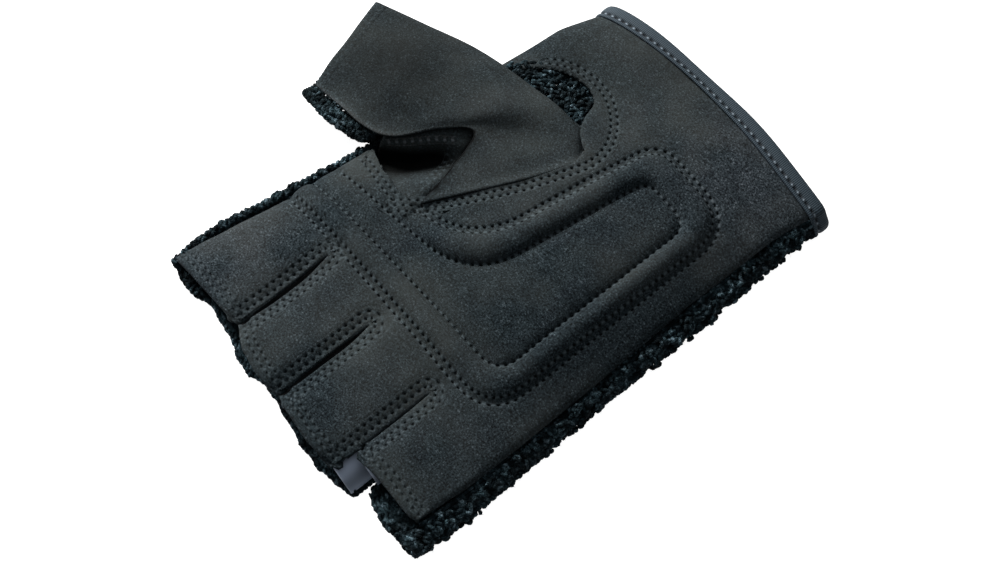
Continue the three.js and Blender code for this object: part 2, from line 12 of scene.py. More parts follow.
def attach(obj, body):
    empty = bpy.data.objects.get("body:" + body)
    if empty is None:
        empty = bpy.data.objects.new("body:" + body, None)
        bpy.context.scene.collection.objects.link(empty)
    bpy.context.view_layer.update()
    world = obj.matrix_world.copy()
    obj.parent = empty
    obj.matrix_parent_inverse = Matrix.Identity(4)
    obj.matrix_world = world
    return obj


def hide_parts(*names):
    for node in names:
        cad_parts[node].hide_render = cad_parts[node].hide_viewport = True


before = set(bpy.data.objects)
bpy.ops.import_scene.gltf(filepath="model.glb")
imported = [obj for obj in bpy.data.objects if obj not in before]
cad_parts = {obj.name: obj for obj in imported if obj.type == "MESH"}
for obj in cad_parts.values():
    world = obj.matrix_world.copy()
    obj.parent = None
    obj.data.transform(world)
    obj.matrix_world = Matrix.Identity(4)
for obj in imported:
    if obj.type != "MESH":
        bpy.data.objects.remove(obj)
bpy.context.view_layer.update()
for thing in bpy.context.selected_objects:
    thing.select_set(False)

# Camera, floor and light. A 70 mm lens looks down at the palm from the little finger's side of
# the fingertips; the floor is a light table, and a window stands on the thumb's side.
VIEW_TURN = math.radians(40)
VIEW_RISE = math.radians(64)
VIEW_DISTANCE = 0.5401
VIEW_TARGET = Vector((0, 0, 0.008))

picture_right = Vector((-math.sin(VIEW_TURN), -math.cos(VIEW_TURN), 0))
picture_down = Vector((-math.cos(VIEW_TURN), math.sin(VIEW_TURN), 0))
towards_camera = picture_down * math.cos(VIEW_RISE) + Vector((0, 0, math.sin(VIEW_RISE)))
picture_up = towards_camera.cross(picture_right)
camera = bpy.data.objects.new("camera", bpy.data.cameras.new("camera"))
camera.data.lens = 70
camera.data.sensor_width = 36
camera.data.clip_start = 0.01
camera.matrix_world = (
    Matrix.Translation(VIEW_TARGET + towards_camera * VIEW_DISTANCE)
    @ Matrix((picture_right, picture_up, towards_camera)).transposed().to_4x4()
)
bpy.context.scene.collection.objects.link(camera)
bpy.context.scene.camera = camera


def add_lamp(name, place, size, watts, colour, aim=(0, 0, 0)):
    lamp = bpy.data.objects.new(name, bpy.data.lights.new(name, "AREA"))
    lamp.data.size = size
    lamp.data.energy = watts
    lamp.data.color = colour
    lamp.location = place
    lamp.rotation_euler = (Vector(place) - Vector(aim)).to_track_quat("Z", "Y").to_euler()
    bpy.context.scene.collection.objects.link(lamp)


add_lamp("window", (0.84, -0.06, 0.52), 0.42, 43.0, (1.0, 0.99, 0.97))
add_lamp("ceiling", (0.1, 0.0, 1.3), 1.6, 8.5, (0.94, 0.97, 1.0))
world = bpy.data.worlds.new("white room")
world.use_nodes = True
world.node_tree.nodes["Background"].inputs["Color"].default_value = (0.88, 0.95, 1.0, 1)
world.node_tree.nodes["Background"].inputs["Strength"].default_value = 0.22
bpy.context.scene.world = world
bpy.context.scene.view_settings.view_transform = "Standard"


def linear(hex_colour):
    """An sRGB hex colour such as "8a8f90" as linear red, green, blue and 1."""
    channels = [int(hex_colour[i : i + 2], 16) / 255 for i in (0, 2, 4)]
    return [c / 12.92 if c <= 0.04045 else ((c + 0.055) / 1.055) ** 2.4 for c in channels] + [1]


def new_material(name, colour, roughness):
    """A material with its Principled shader, whose plain colour and roughness are set."""
    material = bpy.data.materials.new(name)
    material.use_nodes = True
    shader = material.node_tree.nodes["Principled BSDF"]
    shader.inputs["Base Color"].default_value = linear(colour)
    shader.inputs["Roughness"].default_value = roughness
    return material, material.node_tree, shader


def add_node(tree, kind, settings=(), values=(), links=(), stops=()):
    """A node with its settings, values, links {socket: output} and ramp stops {place: colour}."""
    node = tree.nodes.new(kind)
    for key, value in dict(settings).items():
        setattr(node, key, value)
    for key, value in dict(values).items():
        node.inputs[key].default_value = value
    for key, output in dict(links).items():
        tree.links.new(output, node.inputs[key])
    if stops:
        first, *between, last = sorted(stops)
        ramp = node.color_ramp.elements
        ramp[0].position, ramp[1].position = first, last
        ramp[0].color, ramp[1].color = stops[first], stops[last]
        for at in between:
            ramp.new(at).color = stops[at]
    return node


bpy.ops.mesh.primitive_plane_add(size=6)
floor = bpy.context.object
floor.name = "light_table"
card, _, card_shader = new_material("backlit white acrylic", "8c8c8c", 0.9)
card_shader.inputs["Emission Color"].default_value = linear("ffffff")
card_shader.inputs["Emission Strength"].default_value = 0.95
floor.data.materials.append(card)
floor.select_set(False)

# Palm panel: one piece of synthetic suede cut with four finger stubs and a hole for the thumb.
# A thin foam ring between two sewn lines stands up round the heel of the hand.
SUEDE = 1.3
HAND_COLUMNS = ["y", "seam", "bulge", "tuck", "side", "crown", "floor", "lip", "lip_top"]
HAND = dict(
    zip(
        HAND_COLUMNS,
        np.array(
            [
                [-92, -42.0, -44.3, 125, 47.0, 13.2, 1.4, 0.0, 3.0],
                [-84, -41.6, -44.3, 125, 48.6, 13.4, 1.4, 0.0, 3.0],
                [-66, -39.8, -44.2, 60, 52.3, 14.8, 0.0, 0.6, 3.3],
                [-35, -39.6, -45.4, 60, 55.2, 16.0, 0.0, 1.0, 3.3],
                [-14, -40.3, -45.2, 60, 55.5, 16.2, 0.0, 2.9, 4.0],
                [2, -40.8, -45.2, 60, 56.4, 16.0, 0.0, 3.1, 5.8],
                [28, -41.4, -46.1, 60, 59.0, 13.8, 0.0, 3.8, 6.0],
                [48, -41.2, -46.8, 60, 62.4, 11.8, 0.0, 3.6, 6.0],
                [57, -40.4, -46.6, 60, 64.0, 11.4, 0.0, 2.9, 4.6],
                [66, -39.6, -46.2, 60, 65.0, 11.0, 0.0, 1.2, 3.3],
                [74, -39.2, -45.8, 60, 65.6, 10.8, 0.0, 0.8, 3.3],
            ]
        ).T,
    )
)
SEAM_HEIGHT = 9.4
SIDE_HEIGHT = 5.0
CROWN_AT = 0.45
SIDE_ROUNDNESS = 3.2
SLITS = {  # name: line on the palm, line on the back, crotch, widest opening
    "index_middle": (35.4, 34.0, 32.5, 1.9),
    "middle_ring": (11.5, 8.5, 37.0, 1.9),
    "ring_little": (-14.4, -22.0, 37.0, 0.5),
}
PALM_ENDS = {
    "little": [(-60, 62.8), (-26, 62.3), (-14.4, 62.8)],
    "ring": [(-14.4, 69.8), (-4, 70.3), (11.5, 68.6)],
    "middle": [(11.5, 68.6), (20, 69.0), (28, 67.6), (35.4, 64.3)],
    "index": [(35.4, 64.3), (44, 64.4), (80, 64.9)],
}
THUMB_HOLE = [
    (30.0, 4.0), (26.2, -3.7), (22.5, -11.6), (18.6, -19.3), (15.1, -27.4), (12.2, -35.0),
    (13.0, -41.6), (18.6, -45.6), (21.6, -50.0), (24.0, -55.6), (30.5, -58.0), (38.8, -55.4),
    (46.0, -49.6), (51.0, -42.0), (58.0, -37.0), (66.0, -28.0), (66.0, -12.0), (58.0, -1.0),
    (50.0, 3.4), (41.0, 5.2),
]  # fmt: skip
PAD_OUTER = [  # corners of the foam ring: x, y, rounding
    (58.4, 28.4, 0), (-30.6, 29.4, 13), (-30.2, -59.2, 13), (1.4, -60, 7), (10.4, 4, 20),
    (29, 4.6, 0),
]  # fmt: skip
PAD_INNER = [
    (58, 21.2, 0), (-23.0, 20.0, 8), (-22.7, -49.2, 6), (-5.6, -49.6, 4), (2.6, 8.6, 16),
    (29, 11.6, 8), (59, 13.8, 0),
]  # fmt: skip
PAD_RISE = 2.1
THUMB_SEAM = [
    (28.9, 5.3), (25.4, -1.2), (20.6, -9.9), (15.6, -20.4), (11.3, -31.5), (8.9, -39.5),
    (8.9, -45.0), (10.9, -50.4), (14.9, -55.2), (20.0, -58.6), (26.0, -60.6), (32.6, -60.4),
    (38.6, -58.6), (44.6, -54.4),
]  # fmt: skip
CROTCH_SEAM = [(54.6, 5.6), (48.1, 6.6), (41.3, 7.6), (35.4, 8.0)]
CUFF_BEND = {"rise": 3.4, "middle": 2.0, "half": 46.0, "fade_from": -58, "fade_to": -86}
STITCH = 2.3
ROW_APART = 0.95
SEWN_DROP = 0.7
PALM_WRINKLES = ((26, 0.9, 3.1), (9, 0.28, 7.7))  # width, height, seed
CUFF_Y, CROTCH_FROM, CROTCH_TO, TIP_Y = -86, 32.5, 37, 66
PALM_CELL = 0.8
FINGER_CELLS = {"little": 32, "ring": 32, "middle": 30, "index": 42}
SLIT_SHUT = 0.12
HOLE_SNAP = 0.52


def hand_at(y):
    """Every column of the hand's sections at places y along it."""
    rows = HAND["y"]
    i = np.clip(np.searchsorted(rows, y, side="right") - 1, 0, len(rows) - 2)
    t = np.clip((y - rows[i]) / (rows[i + 1] - rows[i]), 0, 1)
    ease = t * t * (3 - 2 * t) * 0.4 + t * 0.6
    return {name: column[i] + (column[i + 1] - column[i]) * ease for name, column in HAND.items()}


def palm_height(x, y):
    """Height of the bare palm over a point of it, without padding, seams or wrinkles."""
    hand = hand_at(y)
    crown_x = hand["seam"] + CROWN_AT * (hand["side"] - hand["seam"])
    left = np.clip((crown_x - x) / (crown_x - hand["seam"]), 0, 1.1)
    right = np.clip((x - crown_x) / (hand["side"] - crown_x), 0, 1)
    rolled = np.maximum(1 - right**SIDE_ROUNDNESS, 0) ** (1 / SIDE_ROUNDNESS)
    z = np.where(
        x < crown_x,
        hand["crown"] - (hand["crown"] - SEAM_HEIGHT) * left**2.4,
        SIDE_HEIGHT + (hand["crown"] - SIDE_HEIGHT) * rolled,
    )
    fade = np.clip((y - 24) / 18, 0, 1)
    for line, _, _, _ in SLITS.values():
        z = z - 1.8 * fade * np.exp(-(((x - line) / 4.2) ** 2))
    return z


def bowed(x, y):
    """Place along the hand once the cuff's corners are drawn in."""
    bend = CUFF_BEND
    fade = np.maximum((y - bend["fade_from"]) / (bend["fade_to"] - bend["fade_from"]), 0)
    return y + bend["rise"] * fade**2 * ((x - bend["middle"]) / bend["half"]) ** 2


def smooth_curve(points, count, closed=False):
    """Evenly spaced points of a Catmull-Rom curve through a few points."""
    points = np.asarray(points, float)
    if closed:
        ends = points[-1:], points, points[:2]
    else:
        ends = 2 * points[:1] - points[1:2], points, 2 * points[-1:] - points[-2:-1]
    p = np.concatenate(ends)
    spans = len(p) - 3
    t = np.linspace(0, 1, 24, endpoint=False)[:, None]
    dense = [
        0.5 * (2 * p[i + 1] + (p[i + 2] - p[i]) * t
               + (2 * p[i] - 5 * p[i + 1] + 4 * p[i + 2] - p[i + 3]) * t**2
               + (3 * p[i + 1] - p[i] - 3 * p[i + 2] + p[i + 3]) * t**3)
        for i in range(spans)
    ]  # fmt: skip
    return evenly(np.concatenate(dense + [p[-2:-1] if not closed else p[1:2]]), count)


def run_of(line):
    """How far along a line each of its points lies."""
    return np.concatenate([[0], np.cumsum(np.linalg.norm(np.diff(line, axis=0), axis=1))])


def unit(vectors):
    """The same vectors with a length of one."""
    return vectors / (np.linalg.norm(vectors, axis=-1, keepdims=True) + 1e-12)


def evenly(line, count):
    """The same line as evenly spaced points."""
    along = run_of(line)
    places = np.linspace(0, along[-1], count)
    return np.stack([np.interp(places, along, line[:, k]) for k in range(line.shape[1])], 1)


def length_of(line):
    return float(np.linalg.norm(np.diff(line, axis=0), axis=1).sum())


def rounded_line(corners, step=1.0):
    """A line through corners (x, y, radius), as evenly spaced points."""
    places = [np.array(c[:2], float) for c in corners]
    line = [places[0]]
    t = np.linspace(0, 1, 17)[:, None]
    for i in range(1, len(corners) - 1):
        corner, radius = places[i], corners[i][2]
        start = corner + (places[i - 1] - corner) / np.linalg.norm(places[i - 1] - corner) * radius
        end = corner + (places[i + 1] - corner) / np.linalg.norm(places[i + 1] - corner) * radius
        line.extend(start * (1 - t) ** 2 + 2 * corner * t * (1 - t) + end * t**2)
    line.append(places[-1])
    line = np.array(line)
    return evenly(line, int(length_of(line) / step) + 2)


def nearest_on(line, x, y, with_along=False):
    """Distance from points to a line of points, + on its left, and how far along it they are."""
    a, b = line[:-1], line[1:]
    ab = b - a
    lengths = np.linalg.norm(ab, axis=1)
    starts = np.concatenate([[0], np.cumsum(lengths)[:-1]])
    out, run = np.empty(x.shape), np.empty(x.shape)
    for start in range(0, x.size, 6000):
        part = slice(start, start + 6000)
        px, py = x.ravel()[part, None] - a[:, 0], y.ravel()[part, None] - a[:, 1]
        t = np.clip((px * ab[:, 0] + py * ab[:, 1]) / (ab**2).sum(1), 0, 1)
        dx, dy = px - t * ab[:, 0], py - t * ab[:, 1]
        gap = dx * dx + dy * dy
        k = gap.argmin(1)
        at = np.arange(len(k))
        side = np.sign(ab[k, 0] * dy[at, k] - ab[k, 1] * dx[at, k])
        out.ravel()[part] = np.sqrt(gap[at, k]) * np.where(side == 0, 1, side)
        run.ravel()[part] = starts[k] + t[at, k] * lengths[k]
    return (out, run) if with_along else out


def slit_seam(name):
    """The line that a slit's double row follows, down one side, round its crotch and up."""
    line, _, crotch, _ = SLITS[name]
    ends = {"index_middle": (63.3, 63.3), "middle_ring": (67.6, 67.6), "ring_little": (62.8, 69.8)}
    reach = 3.05
    turn = np.linspace(np.pi, 2 * np.pi, 15)
    bend = np.stack([line + reach * np.cos(turn), crotch + 0.8 + reach * 1.25 * np.sin(turn)], 1)
    left, right = ends[name]
    points = np.concatenate([[(line - reach, left - 0.9)], bend, [(line + reach, right - 0.9)]])
    return evenly(points, int(length_of(points)) + 2)


def end_seam(finger, first, last):
    """The line of a finger's hem, three millimetres inside its cut end."""
    xs = np.linspace(first, last, 14)
    ends = np.array(PALM_ENDS[finger])
    return np.stack([xs, np.interp(xs, ends[:, 0], ends[:, 1]) - 3.1], 1)


pad_outer = rounded_line(PAD_OUTER)
pad_inner = rounded_line(PAD_INNER)
thumb_hole = smooth_curve(THUMB_HOLE, 220, closed=True)
DOUBLE = (-ROW_APART, ROW_APART)
SINGLE = (0.0,)
PALM_SEAMS = [  # line, rows, how tightly the thread pulls
    (pad_outer[1:-2], DOUBLE, 1.0),
    (pad_inner[1:-4], SINGLE, 1.0),
    (smooth_curve(THUMB_SEAM, 120), DOUBLE, 0.9),
    (smooth_curve(CROTCH_SEAM, 20), DOUBLE, 0.8),
    (slit_seam("index_middle"), DOUBLE, 0.8),
    (slit_seam("middle_ring"), DOUBLE, 0.8),
    (slit_seam("ring_little"), DOUBLE, 0.75),
    (end_seam("little", -40.0, -15.6), DOUBLE, 0.6),
    (end_seam("ring", -13.2, 10.4), DOUBLE, 0.65),
    (end_seam("middle", 12.6, 34.2), DOUBLE, 0.65),
    (end_seam("index", 36.6, 62.5), DOUBLE, 0.6),
    (evenly(np.array([(36.0, 12.6), (24.4, 0.2)]), 20), DOUBLE, 0.8),
    (evenly(np.array([(37.6, 10.4), (29.4, 1.4)]), 16), SINGLE, 0.8),
]


def seam_width(rows):
    """Half the width of the sewn strip that holds these rows."""
    return 2.15 if len(rows) == 2 else 1.25


def wrinkles(x, y, size, height, seed):
    """Slow unevenness of lying cloth."""
    return height * np.array(
        [noise.noise(Vector((a / size, b / size, seed))) for a, b in zip(x.ravel(), y.ravel())]
    ).reshape(x.shape)


def palm_surface(x, y):
    """Height of the dressed palm, and the distance to its nearest sewn strip's middle."""
    z = palm_height(x, y)
    outer = nearest_on(pad_outer, x, y)
    inner = nearest_on(pad_inner, x, y)
    inside_outer, inside_inner = outer > 0, inner > 0
    across = np.clip(outer / (outer - inner + 1e-6), 0, 1)
    ring = inside_outer & ~inside_inner
    rise = PAD_RISE * np.sin(np.pi * np.where(ring, across, 0)) ** 0.7
    rise *= np.where((x > 16) & (y < 17), np.clip(1 - (x - 16) / 16, 0.35, 1), 1)
    z = z + np.where(ring, rise, 0)
    z = z + np.where(inside_inner, 0.8 * (1 - np.exp(-inner / 3.0)), 0)
    z = z + np.where(~inside_outer, 0.45 * np.exp(outer / 4.0) * (1 - np.exp(outer / 1.2)), 0)
    under = np.zeros(x.shape)
    for line, rows, pull in PALM_SEAMS:
        away = np.abs(nearest_on(line, x, y))
        half = seam_width(rows)
        z = z - 0.36 * pull**3 * np.exp(-((away / (half * 0.8)) ** 4))
        under = np.maximum(under, np.clip((half - 0.55 - away) / 0.35, 0, 1))
    for size, height, seed in PALM_WRINKLES:
        z = z + wrinkles(x, y, size, height, seed)
    return z, under


def mark(piece, name, values):
    """Stores a value on each of a piece's vertices, for its material."""
    attribute = piece.data.attributes.get(name) or piece.data.attributes.new(name, "FLOAT", "POINT")
    attribute.data.foreach_set("value", np.asarray(values, np.float32).ravel())


def mesh_piece(name, vertices, faces, material):
    """An object at the origin from vertices in millimetres and faces of three or four corners."""
    vertices = np.asarray(vertices, float) * 0.001
    mesh = bpy.data.meshes.new(name)
    mesh.from_pydata(vertices.tolist(), [], faces.tolist() if hasattr(faces, "tolist") else faces)
    mesh.polygons.foreach_set("use_smooth", [True] * len(mesh.polygons))
    mesh.materials.append(material)
    piece = bpy.data.objects.new(name, mesh)
    bpy.context.scene.collection.objects.link(piece)
    # Every piece is given painted light and shade by place; only the suede's material reads it.
    mark(piece, "nap_and_painted_light", painted_light_at(vertices[:, 0] * 1000, vertices[:, 1] * 1000))
    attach(piece, "root")
    return piece


def grid_normals(points):
    """Normals of a grid of points [row, column], pointing up on average."""
    return unit(np.cross(np.gradient(points, axis=1), np.gradient(points, axis=0)))


PAINTED_LIGHT_SPOTS = [  # x, y, radius, and how much painted light lies there; below 0 it is painted shade
    (14, -62, 10, 0.15), (34, -70, 8, 0.10), (22, -80, 16, -0.30), (-24, -72, 20, 1.20),
    (54, 50, 20, 0.55), (68, -20, 24, -0.85), (28, -28, 11, -0.10), (36.9, -18.5, 1.8, -1.2),
    (35.2, -13.5, 1.8, -1.2), (33.5, -8.0, 1.8, -1.2), (31.8, -2.5, 1.8, -1.2),
    (5, -25, 20, 0.12), (-38, 30, 16, 0.08), (40, -60, 14, -0.25), (-12, 55, 10, 0.20),
]  # fmt: skip


def painted_light_at(x, y):
    """Painted light and shade: paler at the heel of the hand and the index finger, darker on the
    thumb and in a thin line along the thumb panel's folded edge.
    """
    return sum(v * np.exp(-((x - a) ** 2 + (y - b) ** 2) / r**2) for a, b, r, v in PAINTED_LIGHT_SPOTS)


def thicken(points, normals, quads, thickness, edge=0.22):
    """A closed cloth from a sheet: the sheet, its inner face and a rounded edge between them."""
    used = np.unique(quads)
    index = np.full(len(points), -1)
    index[used] = np.arange(len(used))
    quads = index[quads]
    top, normals = points[used], normals[used]
    sides = np.concatenate([quads[:, [k, (k + 1) % 4]] for k in range(4)])
    sides = sides[sides[:, 0] != sides[:, 1]]
    key = sides[:, 0].astype(np.int64) * len(top) + sides[:, 1]
    back = sides[:, 1].astype(np.int64) * len(top) + sides[:, 0]
    rim = sides[~np.isin(key, back)]
    outward = np.zeros_like(top)
    away = unit(np.cross(top[rim[:, 1]] - top[rim[:, 0]], normals[rim[:, 0]]))
    np.add.at(outward, rim[:, 0], away)
    np.add.at(outward, rim[:, 1], away)
    outward = unit(outward)
    rim_points = np.unique(rim)
    bottom = top - normals * thickness
    middle = np.full(len(top), -1)
    middle[rim_points] = 2 * len(top) + np.arange(len(rim_points))
    middles = top[rim_points] - normals[rim_points] * thickness / 2 + outward[rim_points] * edge
    top = top.copy()
    top[rim_points] -= normals[rim_points] * edge * 0.8
    bottom[rim_points] += normals[rim_points] * edge * 0.8
    n = len(top)
    a, b = rim[:, 0], rim[:, 1]
    faces = np.concatenate(
        [
            quads,
            quads[:, ::-1] + n,
            np.stack([b, a, middle[a], middle[b]], 1),
            np.stack([middle[b], middle[a], a + n, b + n], 1),
        ]
    )
    return np.concatenate([top, bottom, middles]), faces


def palm_grid():
    """Points of the palm in rows from cuff to fingertips, and the quads between them."""
    low = np.linspace(CUFF_Y, CROTCH_FROM, int((CROTCH_FROM - CUFF_Y) / PALM_CELL) + 1)
    mid = np.linspace(CROTCH_FROM, CROTCH_TO, 7)[1:]
    high = np.linspace(0, 1, 42)[1:]
    names = list(SLITS)[::-1]
    rows, gaps = [], []
    for kind, value in [("y", v) for v in np.concatenate([low, mid])] + [("t", v) for v in high]:
        y0 = value if kind == "y" else CROTCH_TO + (TIP_Y - CROTCH_TO) * value
        hand = hand_at(np.array(y0))
        bounds = [float(hand["seam"])]
        for name in names:
            line, _, crotch, widest = SLITS[name]
            open_share = np.clip((y0 - crotch) / 9, 0, 1)
            close_share = 1 - 0.7 * np.clip((y0 - 50) / 14, 0, 1)
            half = SLIT_SHUT + (widest / 2 - SLIT_SHUT) * open_share * close_share
            bounds += [line - half, line + half]
        bounds.append(float(hand["side"]))
        xs, ys, gap = [], [], []
        for k, (finger, count) in enumerate(FINGER_CELLS.items()):
            w = np.linspace(0, 1, count + 1)
            if finger == "index":
                w = 1 - (1 - w) ** 1.45
            x = bounds[2 * k] + (bounds[2 * k + 1] - bounds[2 * k]) * w
            ends = np.array(PALM_ENDS[finger])
            end = np.interp(x, ends[:, 0], ends[:, 1])
            corner = np.minimum(np.abs(x - bounds[2 * k]), np.abs(x - bounds[2 * k + 1]))
            end = end - 1.3 * np.exp(-corner / 0.8)
            xs.append(x)
            in_tip = CROTCH_TO + (end - CROTCH_TO) * value
            ys.append(np.full(len(x), y0) if kind == "y" else in_tip)
            gap += [False] * count
            if k < len(names):
                gap.append(y0 > SLITS[names[k]][2] + 1e-6)
        rows.append(np.stack([np.concatenate(xs), np.concatenate(ys)], 1))
        gaps.append(gap)
    return np.array(rows), np.array(gaps)


flat, slit_cells = palm_grid()
row_count, column_count = flat.shape[:2]
away = nearest_on(thumb_hole, flat[..., 0], flat[..., 1])
for j, i in zip(*np.where(np.abs(away) < HOLE_SNAP)):
    gap = thumb_hole - flat[j, i]
    flat[j, i] += gap[(gap**2).sum(1).argmin()]


def inside_loop(loop, x, y):
    """Whether points lie inside a closed outline."""
    a, b = loop, np.roll(loop, -1, axis=0)
    crosses = np.zeros(x.shape, int)
    for (ax, ay), (bx, by) in zip(a, b):
        if ay != by:
            spans = (ay > y) != (by > y)
            crosses += spans & (x < ax + (y - ay) * (bx - ax) / (by - ay))
    return crosses % 2 == 1


height, sewn = palm_surface(flat[..., 0], flat[..., 1])
edge_drop = 0.9 * np.exp(-(flat[..., 0] - hand_at(flat[..., 1])["seam"]) / 0.9)
palm_points = np.stack(
    [flat[..., 0], bowed(flat[..., 0], flat[..., 1]), height - edge_drop - SEWN_DROP * sewn], 2
)
corners = np.arange(row_count * column_count).reshape(row_count, column_count)
quads = np.stack([corners[:-1, :-1], corners[:-1, 1:], corners[1:, 1:], corners[1:, :-1]], 2)
centres = (flat[:-1, :-1] + flat[1:, 1:] + flat[:-1, 1:] + flat[1:, :-1]) / 4
kept = ~slit_cells[1:] & ~inside_loop(thumb_hole, centres[..., 0], centres[..., 1])
bare_points = palm_points + np.stack([0 * sewn, 0 * sewn, SEWN_DROP * sewn], 2)
bare_normals = grid_normals(bare_points).reshape(-1, 3)
used = np.unique(quads[kept])
beside_seam = sewn > 0
for axis in (0, 1):
    for turn in (-1, 1):
        beside_seam = beside_seam | np.roll(beside_seam, turn, axis)
beside_seam &= (np.bincount(quads[kept].ravel(), minlength=sewn.size) == 4).reshape(sewn.shape)
palm_vertices, palm_faces = thicken(
    palm_points.reshape(-1, 3),
    grid_normals(palm_points).reshape(-1, 3),
    quads[kept],
    SUEDE,
)

# Synthetic suede: a knitted base flocked with very short fibres and brushed. The nap scatters
# light, so it is dead matt with a faint pale bloom at the edges, and it lies one way here and
# another there in patches. Fibres are drawn 0.55 mm apart, coarser than the real ones, to show;
# they lie in brushed spots of 4 mm, and dust clings to them in patches of 30 mm.
suede, suede_tree, suede_shader = new_material("brushed synthetic suede", "363b3c", 0.95)
place = add_node(suede_tree, "ShaderNodeTexCoord")
nap_and_painted_light, brushed, patches = (
    add_node(
        suede_tree,
        "ShaderNodeTexNoise",
        values={"Scale": 1 / size, "Detail": detail, "Roughness": roughness},
        links={"Vector": place.outputs["Object"]},
    )
    for size, detail, roughness in ((0.00055, 3.0, 0.7), (0.004, 4.0, 0.65), (0.03, 2.0, 0.5))
)
fibre_tone = add_node(
    suede_tree,
    "ShaderNodeValToRGB",
    links={"Fac": nap_and_painted_light.outputs["Fac"]},
    stops={0.36: linear("050708"), 0.60: linear("20272a"), 0.80: linear("4c5357")},
)
lie_tone = add_node(
    suede_tree,
    "ShaderNodeValToRGB",
    links={"Fac": brushed.outputs["Fac"]},
    stops={0.3: linear("a0a8ae"), 0.72: linear("fafbfd")},
)
tone = add_node(
    suede_tree,
    "ShaderNodeMix",
    settings={"data_type": "RGBA", "blend_type": "MULTIPLY"},
    values={"Factor": 0.8},
    links={"A": fibre_tone.outputs["Color"], "B": lie_tone.outputs["Color"]},
)
dust = add_node(
    suede_tree,
    "ShaderNodeMapRange",
    values={"From Min": 0.40, "From Max": 0.70, "To Min": 0.0, "To Max": 0.28},
    links={"Value": patches.outputs["Fac"]},
)
bloomed = add_node(
    suede_tree,
    "ShaderNodeMix",
    settings={"data_type": "RGBA"},
    values={"B": linear("363836")},
    links={"Factor": dust.outputs["Result"], "A": tone.outputs["Result"]},
)
thread_glint_at, painted_light_read, painted_needle_shade = (
    add_node(suede_tree, "ShaderNodeAttribute", settings={"attribute_name": name})
    for name in ("thread_glint", "nap_and_painted_light", "painted_needle_shade")
)
# Painted highlight: the black thread lying between the holes is painted paler than the suede.
thread_glint_mix = add_node(
    suede_tree,
    "ShaderNodeMix",
    settings={"data_type": "RGBA"},
    values={"B": linear("2e3538")},
    links={"Factor": thread_glint_at.outputs["Fac"], "A": bloomed.outputs["Result"]},
)
# Painted light and shade from the pieces' attribute: paler and slightly warmer where light falls,
# darker where shade falls.
painted_light_share = add_node(
    suede_tree,
    "ShaderNodeMapRange",
    values={"From Min": -1.33, "From Max": 1.33, "To Min": 0.0, "To Max": 1.0},
    links={"Value": painted_light_read.outputs["Fac"]},
)
painted_light_tone = add_node(
    suede_tree,
    "ShaderNodeValToRGB",
    links={"Fac": painted_light_share.outputs["Result"]},
    stops={0.0: (0.0, 0.0, 0.0, 1), 0.5: (0.5, 0.5, 0.5, 1), 1.0: (1.0, 0.88, 0.87, 1)},
)
painted_light_mix = add_node(
    suede_tree,
    "ShaderNodeVectorMath",
    settings={"operation": "MULTIPLY"},
    links={0: thread_glint_mix.outputs["Result"], 1: painted_light_tone.outputs["Color"]},
)
lain = add_node(
    suede_tree,
    "ShaderNodeVectorMath",
    settings={"operation": "SCALE"},
    values={"Scale": 2.08},
    links={"Vector": painted_light_mix.outputs["Vector"]},
)
# Painted shade: the stitch holes are darkened almost to black.
painted_needle_shade_mix = add_node(
    suede_tree,
    "ShaderNodeMix",
    settings={"data_type": "RGBA"},
    values={"B": linear("020303")},
    links={"Factor": painted_needle_shade.outputs["Fac"], "A": lain.outputs["Vector"]},
)
nap_bump = add_node(
    suede_tree,
    "ShaderNodeBump",
    values={"Strength": 0.55, "Distance": 0.00018},
    links={"Height": nap_and_painted_light.outputs["Fac"]},
)
lie_bump = add_node(
    suede_tree,
    "ShaderNodeBump",
    values={"Strength": 0.35, "Distance": 0.0005},
    links={"Height": brushed.outputs["Fac"], "Normal": nap_bump.outputs["Normal"]},
)
suede_tree.links.new(painted_needle_shade_mix.outputs["Result"], suede_shader.inputs["Base Color"])
suede_tree.links.new(lie_bump.outputs["Normal"], suede_shader.inputs["Normal"])
suede_shader.inputs["Sheen Weight"].default_value = 0.01
suede_shader.inputs["Sheen Roughness"].default_value = 0.45
suede_shader.inputs["Sheen Tint"].default_value = linear("9a9b98")
suede_shader.inputs["Specular IOR Level"].default_value = 0.03

palm = mesh_piece("palm_panel", palm_vertices, palm_faces, suede)
normals = np.zeros((len(palm_vertices), 3))
normals[: len(used)] = bare_normals[used] * beside_seam.ravel()[used, None]
palm.data.normals_split_custom_set_from_vertices(normals.tolist())
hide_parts("palm_suede")


# Sewn rows: lockstitch in black thread, 2.3 mm long, that pulls the suede down round each needle
# hole. Each seam is a narrow strip let into the panel, fine enough for the holes and the thread.
# The stitch holes are painted nearly black as painted shade, and the thread between them is painted
# paler as a painted highlight.
ROW_CUTS = (-0.42, -0.2, 0.0, 0.2, 0.42)
POINTS_A_STITCH = 8
HOLE_WIDE, THREAD_WIDE, DIP_WIDE = 0.37, 0.27, 0.5
STRIP_END = -0.3


def strip_cuts(rows):
    """Places across a sewn strip, closest where its rows run."""
    half = seam_width(rows)
    cuts = {-half, half, -half + 0.1, half - 0.1}
    for row in rows:
        cuts.update(row + cut for cut in ROW_CUTS)
    if len(rows) == 2:
        cuts.add(0.0)
    return np.array(sorted(cuts))


